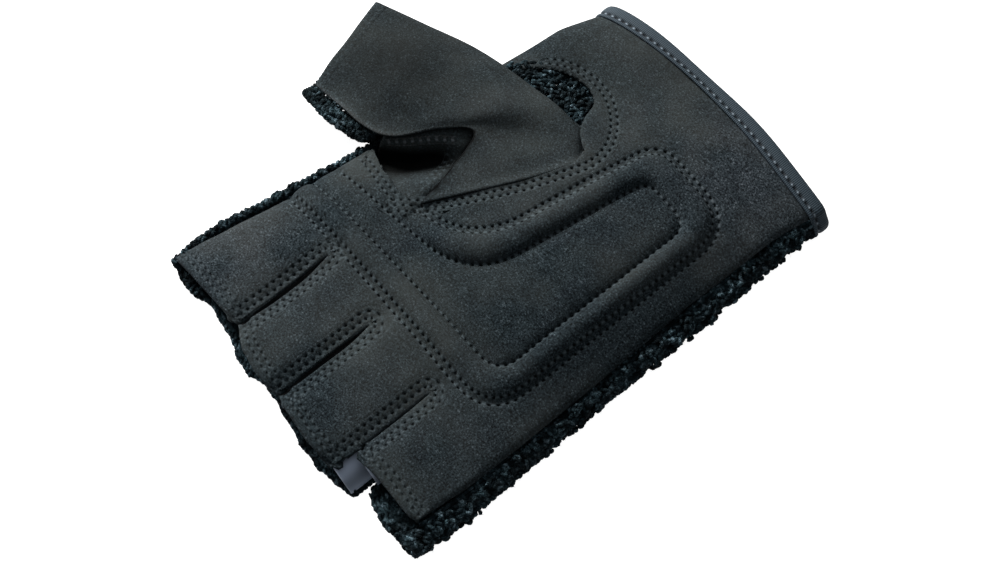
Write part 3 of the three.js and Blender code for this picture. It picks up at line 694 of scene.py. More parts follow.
def stitch_shape(along, across, rows):
    """Height, painted shade in the stitch holes and a painted highlight on the lying stitches, at
    places on a sewn strip.
    """
    lift = np.zeros(np.broadcast(along, across).shape)
    painted_stitch_shade, thread_glint = np.zeros_like(lift), np.zeros_like(lift)
    for k, row in enumerate(rows):
        from_hole = (along / STITCH + 0.5 * k + 0.5) % 1 - 0.5
        gap2 = (from_hole * STITCH) ** 2 * 0.75 + (across - row) ** 2 * 1.5
        hole = np.exp(-gap2 / HOLE_WIDE**2)
        between_holes = np.clip(2.2 * np.abs(from_hole) - 0.35, 0, 0.6)
        lain = np.exp(-(((across - row) / THREAD_WIDE) ** 2)) * between_holes / 0.6
        dip = np.exp(-(((across - row) / DIP_WIDE) ** 2))
        lift += -0.60 * hole + 0.24 * lain - 0.06 * dip
        painted_stitch_shade = np.maximum(painted_stitch_shade, np.clip(1.8 * hole - 0.2, 0, 1))
        thread_glint = np.maximum(thread_glint, lain)
    return lift, painted_stitch_shade, thread_glint


def strip_faces(rows, columns, start):
    """Quads of one strip whose points are numbered row by row from start."""
    at = start + np.arange(rows * columns).reshape(rows, columns)
    return np.stack([at[:-1, :-1], at[:-1, 1:], at[1:, 1:], at[1:, :-1]], 2).reshape(-1, 4)


def strip_lift(cuts, rows, lift):
    """The stitches' height with the strip's rims and ends tucked into the cloth."""
    lift = lift + np.where(np.abs(cuts[None]) >= seam_width(rows) - 0.01, -0.03, 0.02)
    lift[[0, -1]] = STRIP_END
    return lift


def all_stitches(x, y):
    """Height, painted shade and painted highlight of every seam of the palm together, where they
    cross too.
    """
    lift, painted_stitch_shade, thread_glint = np.zeros(x.shape), np.zeros(x.shape), np.zeros(x.shape)
    for line, rows, pull in PALM_SEAMS:
        half = seam_width(rows)
        near = (x > line[:, 0].min() - half) & (x < line[:, 0].max() + half)
        near &= (y > line[:, 1].min() - half) & (y < line[:, 1].max() + half)
        if not near.any():
            continue
        across, along = nearest_on(line, x[near], y[near], with_along=True)
        shape = [pull * field for field in stitch_shape(along, across, rows)]
        inside = (np.abs(across) < half) & (along > 0.05) & (along < length_of(line) - 0.05)
        keeps = np.minimum, np.maximum, np.maximum
        for field, part, keep in zip((lift, painted_stitch_shade, thread_glint), shape, keeps):
            field[near] = np.where(inside, keep(field[near], part), field[near])
    return lift, painted_stitch_shade, thread_glint


def sewn_strip(line, rows):
    """Points, painted shade and painted highlight of a sewn strip that lies on the palm along a
    line.
    """
    count = int(length_of(line) / (STITCH / POINTS_A_STITCH)) + 1
    line = evenly(line, count)
    step = np.gradient(line, axis=0)
    step /= np.linalg.norm(step, axis=1, keepdims=True)
    left = np.stack([-step[:, 1], step[:, 0]], 1)
    cuts = strip_cuts(rows)
    spots = line[:, None] + left[:, None] * cuts[None, :, None]
    z, _ = palm_surface(spots[..., 0], spots[..., 1])
    lift, painted_stitch_shade, thread_glint = all_stitches(spots[..., 0], spots[..., 1])
    height = z + strip_lift(cuts, rows, lift)
    points = np.stack([spots[..., 0], bowed(spots[..., 0], spots[..., 1]), height], 2)
    return points, painted_stitch_shade, thread_glint


def strips_piece(name, strips, material):
    """One object from several sewn strips."""
    faces, at = [], 0
    for points, _, _ in strips:
        faces.append(strip_faces(*points.shape[:2], at)[:, ::-1])
        at += points.shape[0] * points.shape[1]
    points = np.concatenate([strip[0].reshape(-1, 3) for strip in strips])
    piece = mesh_piece(name, points, np.concatenate(faces), material)
    # The strips carry the painted shade of the holes and the painted highlight of the stitches.
    mark(piece, "painted_needle_shade", np.concatenate([strip[1].ravel() for strip in strips]))
    mark(piece, "thread_glint", np.concatenate([strip[2].ravel() for strip in strips]))
    return piece


palm_strips = [sewn_strip(line, rows) for line, rows, _ in PALM_SEAMS]
strips_piece("palm_sewn_rows", palm_strips, suede)

# Thumb panel: a second cut of the same suede, folded over the thumb and sewn into the palm's hole,
# with its raw edge standing a millimetre proud of the palm. Its end is turned in and topstitched.
# The tables give points (x, y, z) across each section, from the hole to the thumb's end.
THUMB_TOP = np.array(
    [
        [[30.6, 3.2, 15.5], [24.6, -9.0, 15.8], [20.0, -18.6, 15.9], [16.4, -26.8, 15.9],
         [13.0, -36.4, 15.7], [12.8, -41.6, 14.2]],
        [[32.2, -7.0, 16.4], [28.2, -15.5, 16.9], [24.2, -23.2, 17.0], [20.0, -31.0, 16.7],
         [15.8, -40.6, 16.0], [16.2, -45.0, 14.0]],
        [[36.4, -21.3, 17.9], [33.4, -26.3, 17.3], [29.4, -31.0, 17.1], [24.6, -36.0, 16.9],
         [20.2, -44.4, 16.2], [21.0, -47.6, 13.6]],
        [[43.6, -15.6, 18.2], [41.0, -22.4, 19.6], [38.0, -30.0, 20.0], [35.0, -38.0, 19.4],
         [31.4, -45.5, 16.8], [30.2, -44.6, 13.8]],
        [[51.4, -3.6, 17.2], [51.0, -12.6, 19.0], [50.8, -22.6, 19.3], [50.8, -33.2, 18.4],
         [50.8, -42.8, 15.4], [49.8, -39.4, 13.0]],
        [[60.6, 0.2, 14.8], [61.0, -8.8, 17.0], [61.8, -19.0, 17.4], [62.8, -30.4, 16.2],
         [64.4, -41.2, 12.2], [63.2, -36.6, 8.8]],
        [[71.4, 0.4, 12.2], [72.6, -7.6, 14.6], [74.2, -16.8, 14.9], [76.2, -27.2, 13.6],
         [79.2, -36.9, 9.6], [77.6, -32.0, 5.6]],
        [[83.2, 0.5, 9.8], [85.2, -6.5, 12.2], [87.4, -14.2, 12.5], [91.2, -23.2, 11.4],
         [95.4, -31.8, 7.6], [94.0, -27.6, 3.6]],
    ]
)  # fmt: skip
THUMB_EDGE_LIFT = 0.9
THUMB_EDGE_OVERLAP = (-0.75, 0.4)


def share_weights(count, share):
    """Weights of a row of values that a smooth curve through them has at shares of its length."""
    at = np.clip(share, 0, 1) * (count - 1)
    first = np.minimum(at.astype(int), count - 2)
    t = (at - first)[..., None]
    slope_in, slope_out = (t**3 - 2 * t**2 + t) / 2, (t**3 - t**2) / 2
    rise = 3 * t**2 - 2 * t**3
    four = np.concatenate([-slope_in, 1 - rise - slope_out, rise + slope_in, slope_out], -1)
    weights = np.zeros(share.shape + (count + 2,))
    np.put_along_axis(weights, first[..., None] + np.arange(4), four, -1)
    inner = weights[..., 1:-1].copy()
    inner[..., 0] += 2 * weights[..., 0]
    inner[..., 1] -= weights[..., 0]
    inner[..., -1] += 2 * weights[..., -1]
    inner[..., -2] -= weights[..., -1]
    return inner


def table_point(table, along, across):
    """Points of a table of sections at shares 0 to 1 along the sections and across them."""
    along, across = np.broadcast_arrays(np.asarray(along, float), np.asarray(across, float))
    rows = np.einsum("...c,rck->...rk", share_weights(table.shape[1], across), table)
    return np.einsum("...r,...rk->...k", share_weights(len(table), along), rows)


def frame_on(surface, along, across):
    """Point, normal and the two slopes of a surface at shares of it."""
    step = 0.003
    a0, a1 = np.clip(along - step, 0, 1), np.clip(along + step, 0, 1)
    c0, c1 = np.clip(across - step, 0, 1), np.clip(across + step, 0, 1)
    by_along = (surface(a1, across) - surface(a0, across)) / (a1 - a0)[..., None]
    by_across = (surface(along, c1) - surface(along, c0)) / (c1 - c0)[..., None]
    return surface(along, across), unit(np.cross(by_across, by_along)), by_along, by_across


def strip_on(surface, path, rows):
    """A sewn strip along a path of shares (along, across) of a surface."""
    path = evenly(np.asarray(path, float), 240)
    for _ in range(2):
        run = run_of(surface(path[:, 0], path[:, 1]))
        count = int(run[-1] / (STITCH / POINTS_A_STITCH)) + 1
        places = np.linspace(0, run[-1], count)
        path = np.stack([np.interp(places, run, path[:, k]) for k in range(2)], 1)
    point, normal, by_along, by_across = frame_on(surface, path[:, 0], path[:, 1])
    aside = unit(np.cross(normal, np.gradient(point, axis=0)))
    aa, cc = (by_along * by_along).sum(1), (by_across * by_across).sum(1)
    ac = (by_along * by_across).sum(1)
    sa, sc = (by_along * aside).sum(1), (by_across * aside).sum(1)
    flat_area = aa * cc - ac * ac
    turn = np.stack([(cc * sa - ac * sc) / flat_area, (aa * sc - ac * sa) / flat_area], 1)
    cuts = strip_cuts(rows)
    shares = path[:, None] + turn[:, None] * cuts[None, :, None]
    point, normal, _, _ = frame_on(surface, shares[..., 0], shares[..., 1])
    stitch_at = np.linspace(0, run[-1], len(path))[:, None]
    lift, painted_stitch_shade, thread_glint = stitch_shape(stitch_at, cuts[None], rows)
    return point + normal * strip_lift(cuts, rows, lift)[..., None], painted_stitch_shade, thread_glint


def cloth_piece(name, points, thickness, material, edge=0.22):
    """A cloth with its thickness and edges, from a grid of the points of its outer face."""
    rows, columns = points.shape[:2]
    vertices, faces = thicken(
        points.reshape(-1, 3),
        grid_normals(points).reshape(-1, 3),
        strip_faces(rows, columns, 0),
        thickness,
        edge,
    )
    return mesh_piece(name, vertices, faces, material)


def thumb_surface(along, across):
    """Outer face of the thumb's suede, with a ridge and a hollow where the thumb bends."""
    point = table_point(THUMB_TOP, along, across)
    near_seam = np.exp(-np.asarray(along) / 0.035)
    near_lip = np.exp(-np.asarray(across) / 0.03) * np.clip((np.asarray(along) - 0.3) / 0.2, 0, 1)
    x, y = point[..., 0], point[..., 1]
    ridge = 0.55 * np.exp(-(((x - 66 - 0.2 * y) / 7.0) ** 2))
    hollow = 0.25 * np.exp(-(((x - 55 - 0.35 * y) / 5.0) ** 2))
    bend = (ridge - hollow) * np.clip(1.2 - across * 1.2, 0, 1)
    point[..., 0] += THUMB_EDGE_OVERLAP[0] * near_seam
    point[..., 1] += THUMB_EDGE_OVERLAP[1] * near_seam
    point[..., 2] += THUMB_EDGE_LIFT * near_seam + bend + 0.35 * near_lip
    slack = np.clip(np.asarray(along) * 5, 0, 1)
    point[..., 2] += wrinkles(point[..., 0], point[..., 1], 15, 0.7, 5.3) * slack
    return point


along, across = np.meshgrid(np.linspace(0, 1, 130), np.linspace(0, 1, 74), indexing="ij")
thumb_points = thumb_surface(along, across)
thumb_piece = cloth_piece("thumb_panel", thumb_points, SUEDE, suede)
# Painted light and shade on the thumb panel: a painted shadow along its edge where it folds in by
# the gusset, a painted highlight along its raw edge over the gusset's valley, and painted shade on
# its inner face and rim.
thumb_painted_light = painted_light_at(thumb_points[..., 0], thumb_points[..., 1])
thumb_painted_light -= 1.0 * np.exp(-across / 0.012) * np.clip((0.40 - along) / 0.05, 0, 1)
thumb_painted_light += 1.2 * np.exp(-across / 0.018) * np.clip((along - 0.38) / 0.08, 0, 1)
copies = len(thumb_piece.data.vertices) - thumb_painted_light.size
mark(thumb_piece, "nap_and_painted_light", np.concatenate([thumb_painted_light.ravel(), np.full(copies, -0.9)]))
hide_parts("thumb_suede")

# Gusset: a leaf of suede let in between thumb and index finger so that the hand can spread. It
# hangs slack as a valley under the thumb panel's edge, creased along its seam with the palm.
GUSSET = np.array(
    [
        [[34.2, -27.4, 15.9], [44.8, -18.0, 17.1], [50.0, -9.4, 16.4], [53.4, -2.2, 15.3]],
        [[33.8, -21.0, 15.9], [42.0, -13.2, 14.6], [47.8, -6.0, 13.4], [53.8, -0.6, 11.8]],
        [[31.5, -14.9, 14.2], [40.8, -11.6, 8.4], [47.2, -4.6, 5.2], [54.2, 0.8, 4.6]],
        [[29.2, -7.0, 14.0], [37.4, -3.8, 12.2], [45.0, 1.0, 9.4], [54.4, 3.0, 6.8]],
        [[27.4, 3.2, 13.2], [36.6, 6.2, 13.7], [44.0, 6.8, 12.6], [54.0, 5.8, 9.8]],
    ]
)  # fmt: skip


def gusset_surface(along, across):
    """Outer face of the gusset, from under the thumb's edge to the palm."""
    point = table_point(GUSSET, along, across)
    crease = np.exp(-(((np.asarray(across) - 0.09) / 0.06) ** 2))
    point[..., 2] -= 1.5 * crease * np.clip((np.asarray(along) - 0.3) / 0.25, 0, 1)
    return point


along, across = np.meshgrid(np.linspace(0, 1, 56), np.linspace(0, 1, 50), indexing="ij")
gusset_points = gusset_surface(along, across)
gusset_piece = cloth_piece("thumb_gusset_leaf", gusset_points, SUEDE, suede)
# Painted shade: the gusset darkens the deeper it sags into its valley and along its crease, and its
# inner face and rim are darkened too.
gusset_painted_shade = np.clip((12.6 - gusset_points[..., 2]) / 3.5, 0, 1)
gusset_painted_shade = np.maximum(gusset_painted_shade, np.exp(-(((across - 0.09) / 0.05) ** 2))).ravel()
copies = len(gusset_piece.data.vertices)
mark(gusset_piece, "nap_and_painted_light", np.concatenate([-1.25 * gusset_painted_shade, np.full(copies - len(gusset_painted_shade), -0.6)]))
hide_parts("thumb_gusset")

thumb_strips = [
    strip_on(thumb_surface, [(0.975, 0.03), (0.975, 0.80)], SINGLE),
    strip_on(gusset_surface, [(0.30, 0.23), (0.55, 0.23), (0.88, 0.27)], DOUBLE),
    strip_on(gusset_surface, [(0.22, 0.20), (0.2, 0.6), (0.19, 0.96)], SINGLE),
]
thumb_rows = strips_piece("thumb_sewn_rows", thumb_strips, suede)
sizes = [strip[1].size for strip in thumb_strips]
# Painted shade on the thumb's hem row and, a little, on the gusset's crease rows; painted light on
# the row along the gusset's lip, which lies in the thumb's shadow.
mark(thumb_rows, "nap_and_painted_light", np.repeat((-0.6, -0.1, 1.33), sizes))

# Wrist binding: a flat elastic tape, woven with fine ribs across it, folded over the raw edges of
# palm and back and held by one row of stitches that sinks into it.
TAPE_MIDDLE = -84.0
TAPE_STITCH_AT = -83.15
TAPE_STITCH = 2.7
TAPE_SECTION = [  # out from the palm's face, place along the glove
    (0.15, -81.60), (0.75, -81.62), (0.98, -81.90), (1.00, -82.40), (0.98, -82.75), (1.00, -82.95),
    (1.02, -83.15), (1.02, -83.35), (1.02, -83.55), (1.06, -83.90), (1.12, -84.30), (1.16, -84.90),
    (1.16, -85.50), (1.10, -86.10), (0.96, -86.60), (0.66, -87.00), (0.20, -87.25), (-0.40, -87.32),
    (-1.20, -87.32), (-2.00, -87.28), (-2.60, -87.10), (-3.05, -86.70), (-3.25, -86.10),
    (-3.30, -85.20), (-3.30, -83.50), (-3.28, -82.20), (-3.15, -81.70), (-2.75, -81.60),
    (-2.50, -81.80), (-2.45, -84.00), (-2.40, -86.00), (0.10, -86.00), (0.15, -84.00),
]  # fmt: skip
BACK_COLUMNS = 13
ROLL = 3.6


def back_point(share, y):
    """Outer face of the crochet back: from under the seam round the roll and floor to the lip."""
    share, y = np.broadcast_arrays(np.asarray(share, float), np.asarray(y, float))
    hand = hand_at(y)
    shares = np.linspace(0, 1, 6)
    angle = np.radians(hand["tuck"][..., None] + (270 - hand["tuck"][..., None]) * shares)
    flat_from, flat_to = hand["bulge"] + ROLL, hand["side"] - 5.5
    xs = np.concatenate(
        [
            hand["bulge"][..., None] + ROLL * (1 + np.cos(angle)),
            flat_from[..., None] + (flat_to - flat_from)[..., None] * shares[1:],
            (hand["side"] + hand["lip"] * 0.7 - 0.9)[..., None],
            (hand["side"] + hand["lip"])[..., None],
        ],
        -1,
    )
    zs = np.concatenate(
        [
            ROLL * (1 + np.sin(angle)),
            np.zeros(y.shape + (5,)),
            np.full(y.shape + (1,), 1.3),
            hand["lip_top"][..., None],
        ],
        -1,
    )
    weights = share_weights(BACK_COLUMNS, share)
    x = (weights * xs).sum(-1)
    z = np.maximum((weights * zs).sum(-1), 0)
    return np.stack([x, bowed(x, y), hand["floor"] + z * (1 - hand["floor"] / 12)], -1)


def cuff_loop(y):
    """The cuff's outline at a place along the glove, over the palm and back under the hand."""
    hand = hand_at(np.array(float(y)))
    t = np.linspace(0, 1, 61)
    x = hand["seam"] + (hand["side"] - hand["seam"]) * (1 - (1 - t) ** 1.6)
    top = np.stack([x, bowed(x, y), palm_height(x, np.full(x.shape, float(y)))], 1)
    return np.concatenate([top, back_point(np.linspace(1, 0, 81), float(y))])


ring_count = 840
ring = cuff_loop(TAPE_MIDDLE)
closed_ring = np.concatenate([ring, ring[:1]])
run = run_of(closed_ring)
places = np.linspace(0, run[-1], ring_count, endpoint=False)
ring = np.stack([np.interp(places, run, closed_ring[:, k]) for k in range(3)], 1)
for _ in range(26):
    ring = (np.roll(ring, 1, 0) + 2 * ring + np.roll(ring, -1, 0)) / 4
ahead = np.roll(ring, -1, 0) - np.roll(ring, 1, 0)
outward = np.stack([-ahead[:, 2], np.zeros(ring_count), ahead[:, 0]], 1)
outward /= np.linalg.norm(outward, axis=1, keepdims=True)
round_length = run[-1]
stitch_count = round(round_length / TAPE_STITCH)
phase = (places / round_length * stitch_count) % 1 - 0.5
section = np.array(TAPE_SECTION)
tape_points = np.empty((ring_count, len(section), 3))
tape_painted_stitch_shade, tape_thread_glint = np.zeros((2, ring_count, len(section)))
pinch = np.exp(-(((ring[:, 0] - 12.0) / 17.0) ** 2)) * (ring[:, 2] > 8)
for k, (out, y) in enumerate(section):
    shift, place_y = np.zeros(ring_count), y + np.zeros(ring_count)
    if out > 0.1:
        near_row = np.exp(-(((y - TAPE_STITCH_AT) / 0.42) ** 2))
        dash = np.exp(-((phase / 0.20) ** 4))
        shift = near_row * (-0.50 - 0.25 * dash)
        # Painted shade darkens the groove along the stitch row, most at each stitch, and a painted
        # highlight pales the thread where it bulges between stitches.
        tape_painted_stitch_shade[:, k] = near_row * (0.75 + 0.25 * dash)
        tape_thread_glint[:, k] = near_row**3 * np.exp(-(((np.abs(phase) - 0.5) / 0.13) ** 2))
        place_y = y - 1.1 * pinch * np.clip((y + 87.0) / 5.0, 0, 1)
    tape_points[:, k] = ring + outward * (out + shift)[:, None]
    tape_points[:, k, 1] = ring[:, 1] - TAPE_MIDDLE + place_y + 0.22 * np.sin(ring[:, 0] / 6.5)
index = np.arange(ring_count * len(section)).reshape(ring_count, len(section))
next_ring, next_cut = np.roll(index, -1, 0), np.roll(index, -1, 1)
tape_faces = np.stack([index, next_cut, np.roll(next_ring, -1, 1), next_ring], 2).reshape(-1, 4)

# Elastic tape: polyester yarn woven over rubber threads, smoother, bluer and shinier than the
# suede. Its ribs are drawn 0.55 mm apart, coarser than the real ones, to show.
RIB_PITCH = 0.55
tape, tape_tree, tape_shader = new_material("woven elastic tape", "20262c", 0.75)
ribs_at = add_node(tape_tree, "ShaderNodeUVMap", settings={"uv_map": "round"})
ribs = add_node(
    tape_tree,
    "ShaderNodeTexWave",
    settings={"wave_type": "BANDS", "bands_direction": "X", "wave_profile": "SIN"},
    values={"Scale": 1.0, "Distortion": 0.4, "Detail": 1.0, "Detail Scale": 2.0},
    links={"Vector": ribs_at.outputs["UV"]},
)
rib_tone = add_node(
    tape_tree,
    "ShaderNodeValToRGB",
    links={"Fac": ribs.outputs["Fac"]},
    stops={0.0: linear("0d1216"), 1.0: linear("2a343b")},
)
tape_painted_needle_shade, tape_thread_glint_at = (
    add_node(tape_tree, "ShaderNodeAttribute", settings={"attribute_name": name})
    for name in ("painted_needle_shade", "thread_glint")
)
# Painted shade in the stitch row's groove and a painted highlight on the thread's bulges.
tape_tone = add_node(
    tape_tree,
    "ShaderNodeMix",
    settings={"data_type": "RGBA"},
    values={"B": linear("05070a")},
    links={"Factor": tape_painted_needle_shade.outputs["Fac"], "A": rib_tone.outputs["Color"]},
)
tape_sewn = add_node(
    tape_tree,
    "ShaderNodeMix",
    settings={"data_type": "RGBA"},
    values={"B": linear("69737b")},
    links={"Factor": tape_thread_glint_at.outputs["Fac"], "A": tape_tone.outputs["Result"]},
)
rib_bump = add_node(
    tape_tree,
    "ShaderNodeBump",
    values={"Strength": 0.5, "Distance": 0.00012},
    links={"Height": ribs.outputs["Fac"]},
)
tape_tree.links.new(tape_sewn.outputs["Result"], tape_shader.inputs["Base Color"])
tape_tree.links.new(rib_bump.outputs["Normal"], tape_shader.inputs["Normal"])
tape_shader.inputs["Specular IOR Level"].default_value = 0.1

binding = mesh_piece("wrist_binding_tape", tape_points.reshape(-1, 3), tape_faces, tape)
mark(binding, "painted_needle_shade", tape_painted_stitch_shade)
mark(binding, "thread_glint", tape_thread_glint)
rib_map = binding.data.uv_layers.new(name="round")
corner_vertices = np.empty(len(binding.data.loops), int)
binding.data.loops.foreach_get("vertex_index", corner_vertices)
rib_u = (corner_vertices // len(section)) * (round_length / ring_count) / RIB_PITCH * math.pi / 10
rib_v = section[corner_vertices % len(section), 1] * 0.1
rib_map.data.foreach_set("uv", np.stack([rib_u, rib_v], 1).ravel())
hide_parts("wrist_binding")

# Finger side walls: strips of smooth stretch knit between palm and back, each turning round in
# the crotch of its slit. They are hidden but for the one between ring and little finger.
KNIT = 0.7
knit, knit_tree, knit_shader = new_material("smooth stretch knit", "3c424b", 0.7)
knit_place = add_node(knit_tree, "ShaderNodeTexCoord")
knit_wale = add_node(
    knit_tree,
    "ShaderNodeTexWave",
    settings={"wave_type": "BANDS", "bands_direction": "Z"},
    values={"Scale": 1 / 0.0006 / 20, "Distortion": 0.6, "Detail": 1.0},
    links={"Vector": knit_place.outputs["Object"]},
)
knit_tone = add_node(
    knit_tree,
    "ShaderNodeValToRGB",
    links={"Fac": knit_wale.outputs["Fac"]},
    stops={0.0: linear("4b525d"), 1.0: linear("757e8d")},
)
# The knit's colour is scaled down by painted shade in the shut slits.
knit_painted_shade_at = add_node(knit_tree, "ShaderNodeAttribute", settings={"attribute_name": "stretch"})
knit_painted_shade = add_node(
    knit_tree,
    "ShaderNodeVectorMath",
    settings={"operation": "SCALE"},
    links={"Vector": knit_tone.outputs["Color"], "Scale": knit_painted_shade_at.outputs["Fac"]},
)
knit_bump = add_node(
    knit_tree,
    "ShaderNodeBump",
    values={"Strength": 0.4, "Distance": 0.0001},
    links={"Height": knit_wale.outputs["Fac"]},
)
knit_tree.links.new(knit_painted_shade.outputs["Vector"], knit_shader.inputs["Base Color"])
knit_tree.links.new(knit_bump.outputs["Normal"], knit_shader.inputs["Normal"])

WALL_ENDS = {"index_middle": (63.0, 63.0), "middle_ring": (67.2, 67.2), "ring_little": (62.2, 69.0)}
WALL_BOTTOM = 2.6
for name, (line, back_line, crotch, _) in SLITS.items():
    reach = 1.2 if name == "ring_little" else 1.7
    left_end, right_end = WALL_ENDS[name]
    turn = np.linspace(np.pi, 2 * np.pi, 17)
    arc = np.stack([reach * np.cos(turn), crotch + reach + reach * np.sin(turn)], 1)
    path = evenly(np.concatenate([[(-reach, left_end)], arc, [(reach, right_end)]]), 110)
    top = palm_height(np.full(len(path), line), np.minimum(path[:, 1], 64.0)) - SUEDE - 0.2
    share = np.linspace(0, 1, 12)
    z = WALL_BOTTOM + (top[:, None] - WALL_BOTTOM) * share
    belly = 0.5 * np.sin(np.pi * share) * np.sign(path[:, :1]) * np.minimum(np.abs(path[:, :1]), 1)
    x = path[:, :1] + back_line + (line - back_line) * share + belly
    y = np.broadcast_to(path[:, 1:], z.shape)
    wall_points = np.stack([x, y, z], 2)
    wall = cloth_piece(f"finger_wall_{name}", wall_points, KNIT, knit, 0.1)
    # Painted shade: the walls inside the two nearly shut slits are darkened almost to black, while
    # the stretched open one keeps its full tone.
    stretch = 1.0 if name == "ring_little" else 0.04
    mark(wall, "stretch", np.full(len(wall.data.vertices), stretch))
    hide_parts(f"fourchette_{name}")

# Crochet back: thick soft cotton yarn worked into chains that part and meet again, which leaves
# staggered holes. Each chain is three yarns wound through each other; a heavier chain edges it.
YARN = 0.52
YARN_SIDES = 5
CHAIN = {"apart": 3.2, "wide": 0.75, "high": 0.42, "turn": 4.4}
FILLER = {"roll": 0.78, "ends": 0.62, "cuff": 0.66, "index": 0.72, "seam": 0.85, "thumb": 0.6}
KNOT_YARN = 0.56
NET_FROM, NET_TO = -85.5, 71.0
ROLL_PERIOD, BACK_PERIOD = 13.6, 6.8
BACK_ENDS = np.array(
    [(-60, 65.2), (-42, 66.6), (-34, 67.2), (-27, 65.8), (-22, 64.6), (-22, 68.6), (-16, 69.6),
     (-5, 70.8), (5, 69.2), (10, 68.0), (14, 67.6), (19, 67.4), (26, 68.6), (31, 67.8), (35, 66.2),
     (41, 64.8), (47, 64.2), (53, 65.2), (59, 65.8), (80, 63.6)]
)  # fmt: skip
PLY_TURN = 1.3
WAVE_TURN = 2 * math.pi / 10


class YarnSet:
    """Yarns gathered for one object: ring by ring points, faces and their place round and along."""

    def __init__(self):
        self.points, self.outs, self.faces, self.maps, self.count = [], [], [], [], 0

    def add_yarn(self, path, normal, radius):
        """A plain yarn along a path."""
        sides = YARN_SIDES
        ahead = unit(np.gradient(path, axis=0))
        aside = unit(np.cross(ahead, normal))
        upward = np.cross(aside, ahead)
        turn = np.linspace(0, 2 * np.pi, sides, endpoint=False)
        thick = np.full(len(path), radius)
        thick[[0, -1]] *= 0.45
        c, s = np.cos(turn)[None, :, None], np.sin(turn)[None, :, None]
        ring = c * aside[:, None] + s * upward[:, None]
        self.points.append((path[:, None] + ring * thick[:, None, None]).reshape(-1, 3))
        self.outs.append(ring.reshape(-1, 3))
        at = self.count + np.arange(len(path) * sides).reshape(len(path), sides)
        after = np.roll(at, -1, 1)
        self.faces += np.stack([at[:-1], after[:-1], after[1:], at[1:]], 2).reshape(-1, 4).tolist()
        along = run_of(path)
        u0 = np.tile(np.arange(sides) / sides, (len(path) - 1, 1))
        u1 = u0 + 1 / sides
        v0, v1 = np.repeat(along[:-1, None], sides, 1), np.repeat(along[1:, None], sides, 1)
        corners = [u0, v0, u1, v0, u1, v1, u0, v1]
        self.maps.append(np.stack(corners, 2).reshape(-1, 2))
        self.faces += [at[0][::-1].tolist(), at[-1].tolist()]
        self.maps.append(np.zeros((2 * sides, 2)))
        self.count += len(path) * sides

    def add_chain(self, centre, normal, size, start, narrow=1.0):
        """Three yarns wound through each other along a path."""
        aside = np.cross(unit(np.gradient(centre, axis=0)), normal)
        along = run_of(centre)
        for k in range(3):
            phase = 2 * np.pi * (along / (CHAIN["turn"] * size) + k / 3 + start)
            sway = CHAIN["wide"] * size * np.sin(phase) * narrow
            rise = CHAIN["high"] * size * np.sin(2 * phase)
            path = centre + aside * sway[:, None] + normal * rise[:, None]
            self.add_yarn(path, normal, YARN * size)

    def add_knots(self, centre, normal, chance):
        """Small loops of yarn that stand up from the chains, each turned its own way."""
        for c, n in zip(centre, normal):
            if chance.random() > 0.5:
                size = chance.uniform(0.65, 0.95)
                lean = Vector([chance.gauss(0, 1) for _ in range(3)])
                across = np.array(lean.cross(Vector(n)).normalized())
                up = np.array((Vector(n) + lean * 0.35).normalized())
                turn = np.linspace(-0.35, math.pi + 0.35, 7)[:, None]
                path = c + across * size * np.cos(turn) + up * (size * 0.8 * np.sin(turn) + 0.1)
                side = np.tile(np.cross(across, up), (len(path), 1))
                self.add_yarn(path, side, KNOT_YARN)

    def piece(self, name, material, slot):
        points = np.concatenate(self.points)
        points[:, 2] = np.maximum(points[:, 2], 0.03)
        piece = mesh_piece(name, points, self.faces, material)
        yarn_map = piece.data.uv_layers.new(name="yarn")
        yarn_map.data.foreach_set("uv", np.concatenate(self.maps).ravel())
        return piece


def runs_of(mask):
    """Slices of a mask's unbroken stretches that are long enough for a yarn."""
    edges = np.flatnonzero(np.diff(np.concatenate([[0], mask.astype(int), [0]])))
    return [slice(a, b) for a, b in edges.reshape(-1, 2) if b - a >= 4]


def parting(along, period):
    """How far neighbouring chains lean apart, from -1 to 1, along them."""
    def swell(t):
        return np.exp(-((((t + 0.5) % 1 - 0.5) / 0.17) ** 2))

    return swell(along / period) - swell(along / period + 0.5)


# The yarn's own surface: cotton dyed a blue black and dead matt, its plies twisted once in 1.3 mm.
# Paler tufts of loose fibre 1.6 mm across cover it, and every 5 mm or so it turns paler or darker.
yarn, yarn_tree, yarn_shader = new_material("soft cotton crochet yarn", "10161b", 0.9)
yarn_at = add_node(yarn_tree, "ShaderNodeUVMap", settings={"uv_map": "yarn"})
yarn_scaled = add_node(
    yarn_tree,
    "ShaderNodeMapping",
    values={"Scale": (1.0, 1 / PLY_TURN, 1.0)},
    links={"Vector": yarn_at.outputs["UV"]},
)
plies = add_node(
    yarn_tree,
    "ShaderNodeTexWave",
    settings={"wave_type": "BANDS", "bands_direction": "DIAGONAL"},
    values={"Scale": 3 * WAVE_TURN},
    links={"Vector": yarn_scaled.outputs["Vector"]},
)
yarn_place = add_node(yarn_tree, "ShaderNodeTexCoord")
loose, tufts, lumps = (
    add_node(
        yarn_tree,
        "ShaderNodeTexNoise",
        values={"Scale": 1 / size, "Detail": detail, "Roughness": roughness},
        links={"Vector": yarn_place.outputs["Object"]},
    )
    for size, detail, roughness in ((0.0007, 3.0, 0.65), (0.0016, 2.0, 0.6), (0.005, 1.0, 0.5))
)
yarn_height = add_node(
    yarn_tree,
    "ShaderNodeMath",
    settings={"operation": "ADD"},
    links={0: plies.outputs["Fac"], 1: loose.outputs["Fac"]},
)
yarn_tone = add_node(
    yarn_tree,
    "ShaderNodeValToRGB",
    links={"Fac": tufts.outputs["Fac"]},
    stops={0.46: linear("0b1215"), 0.58: linear("1c272b"), 0.72: linear("445057")},
)
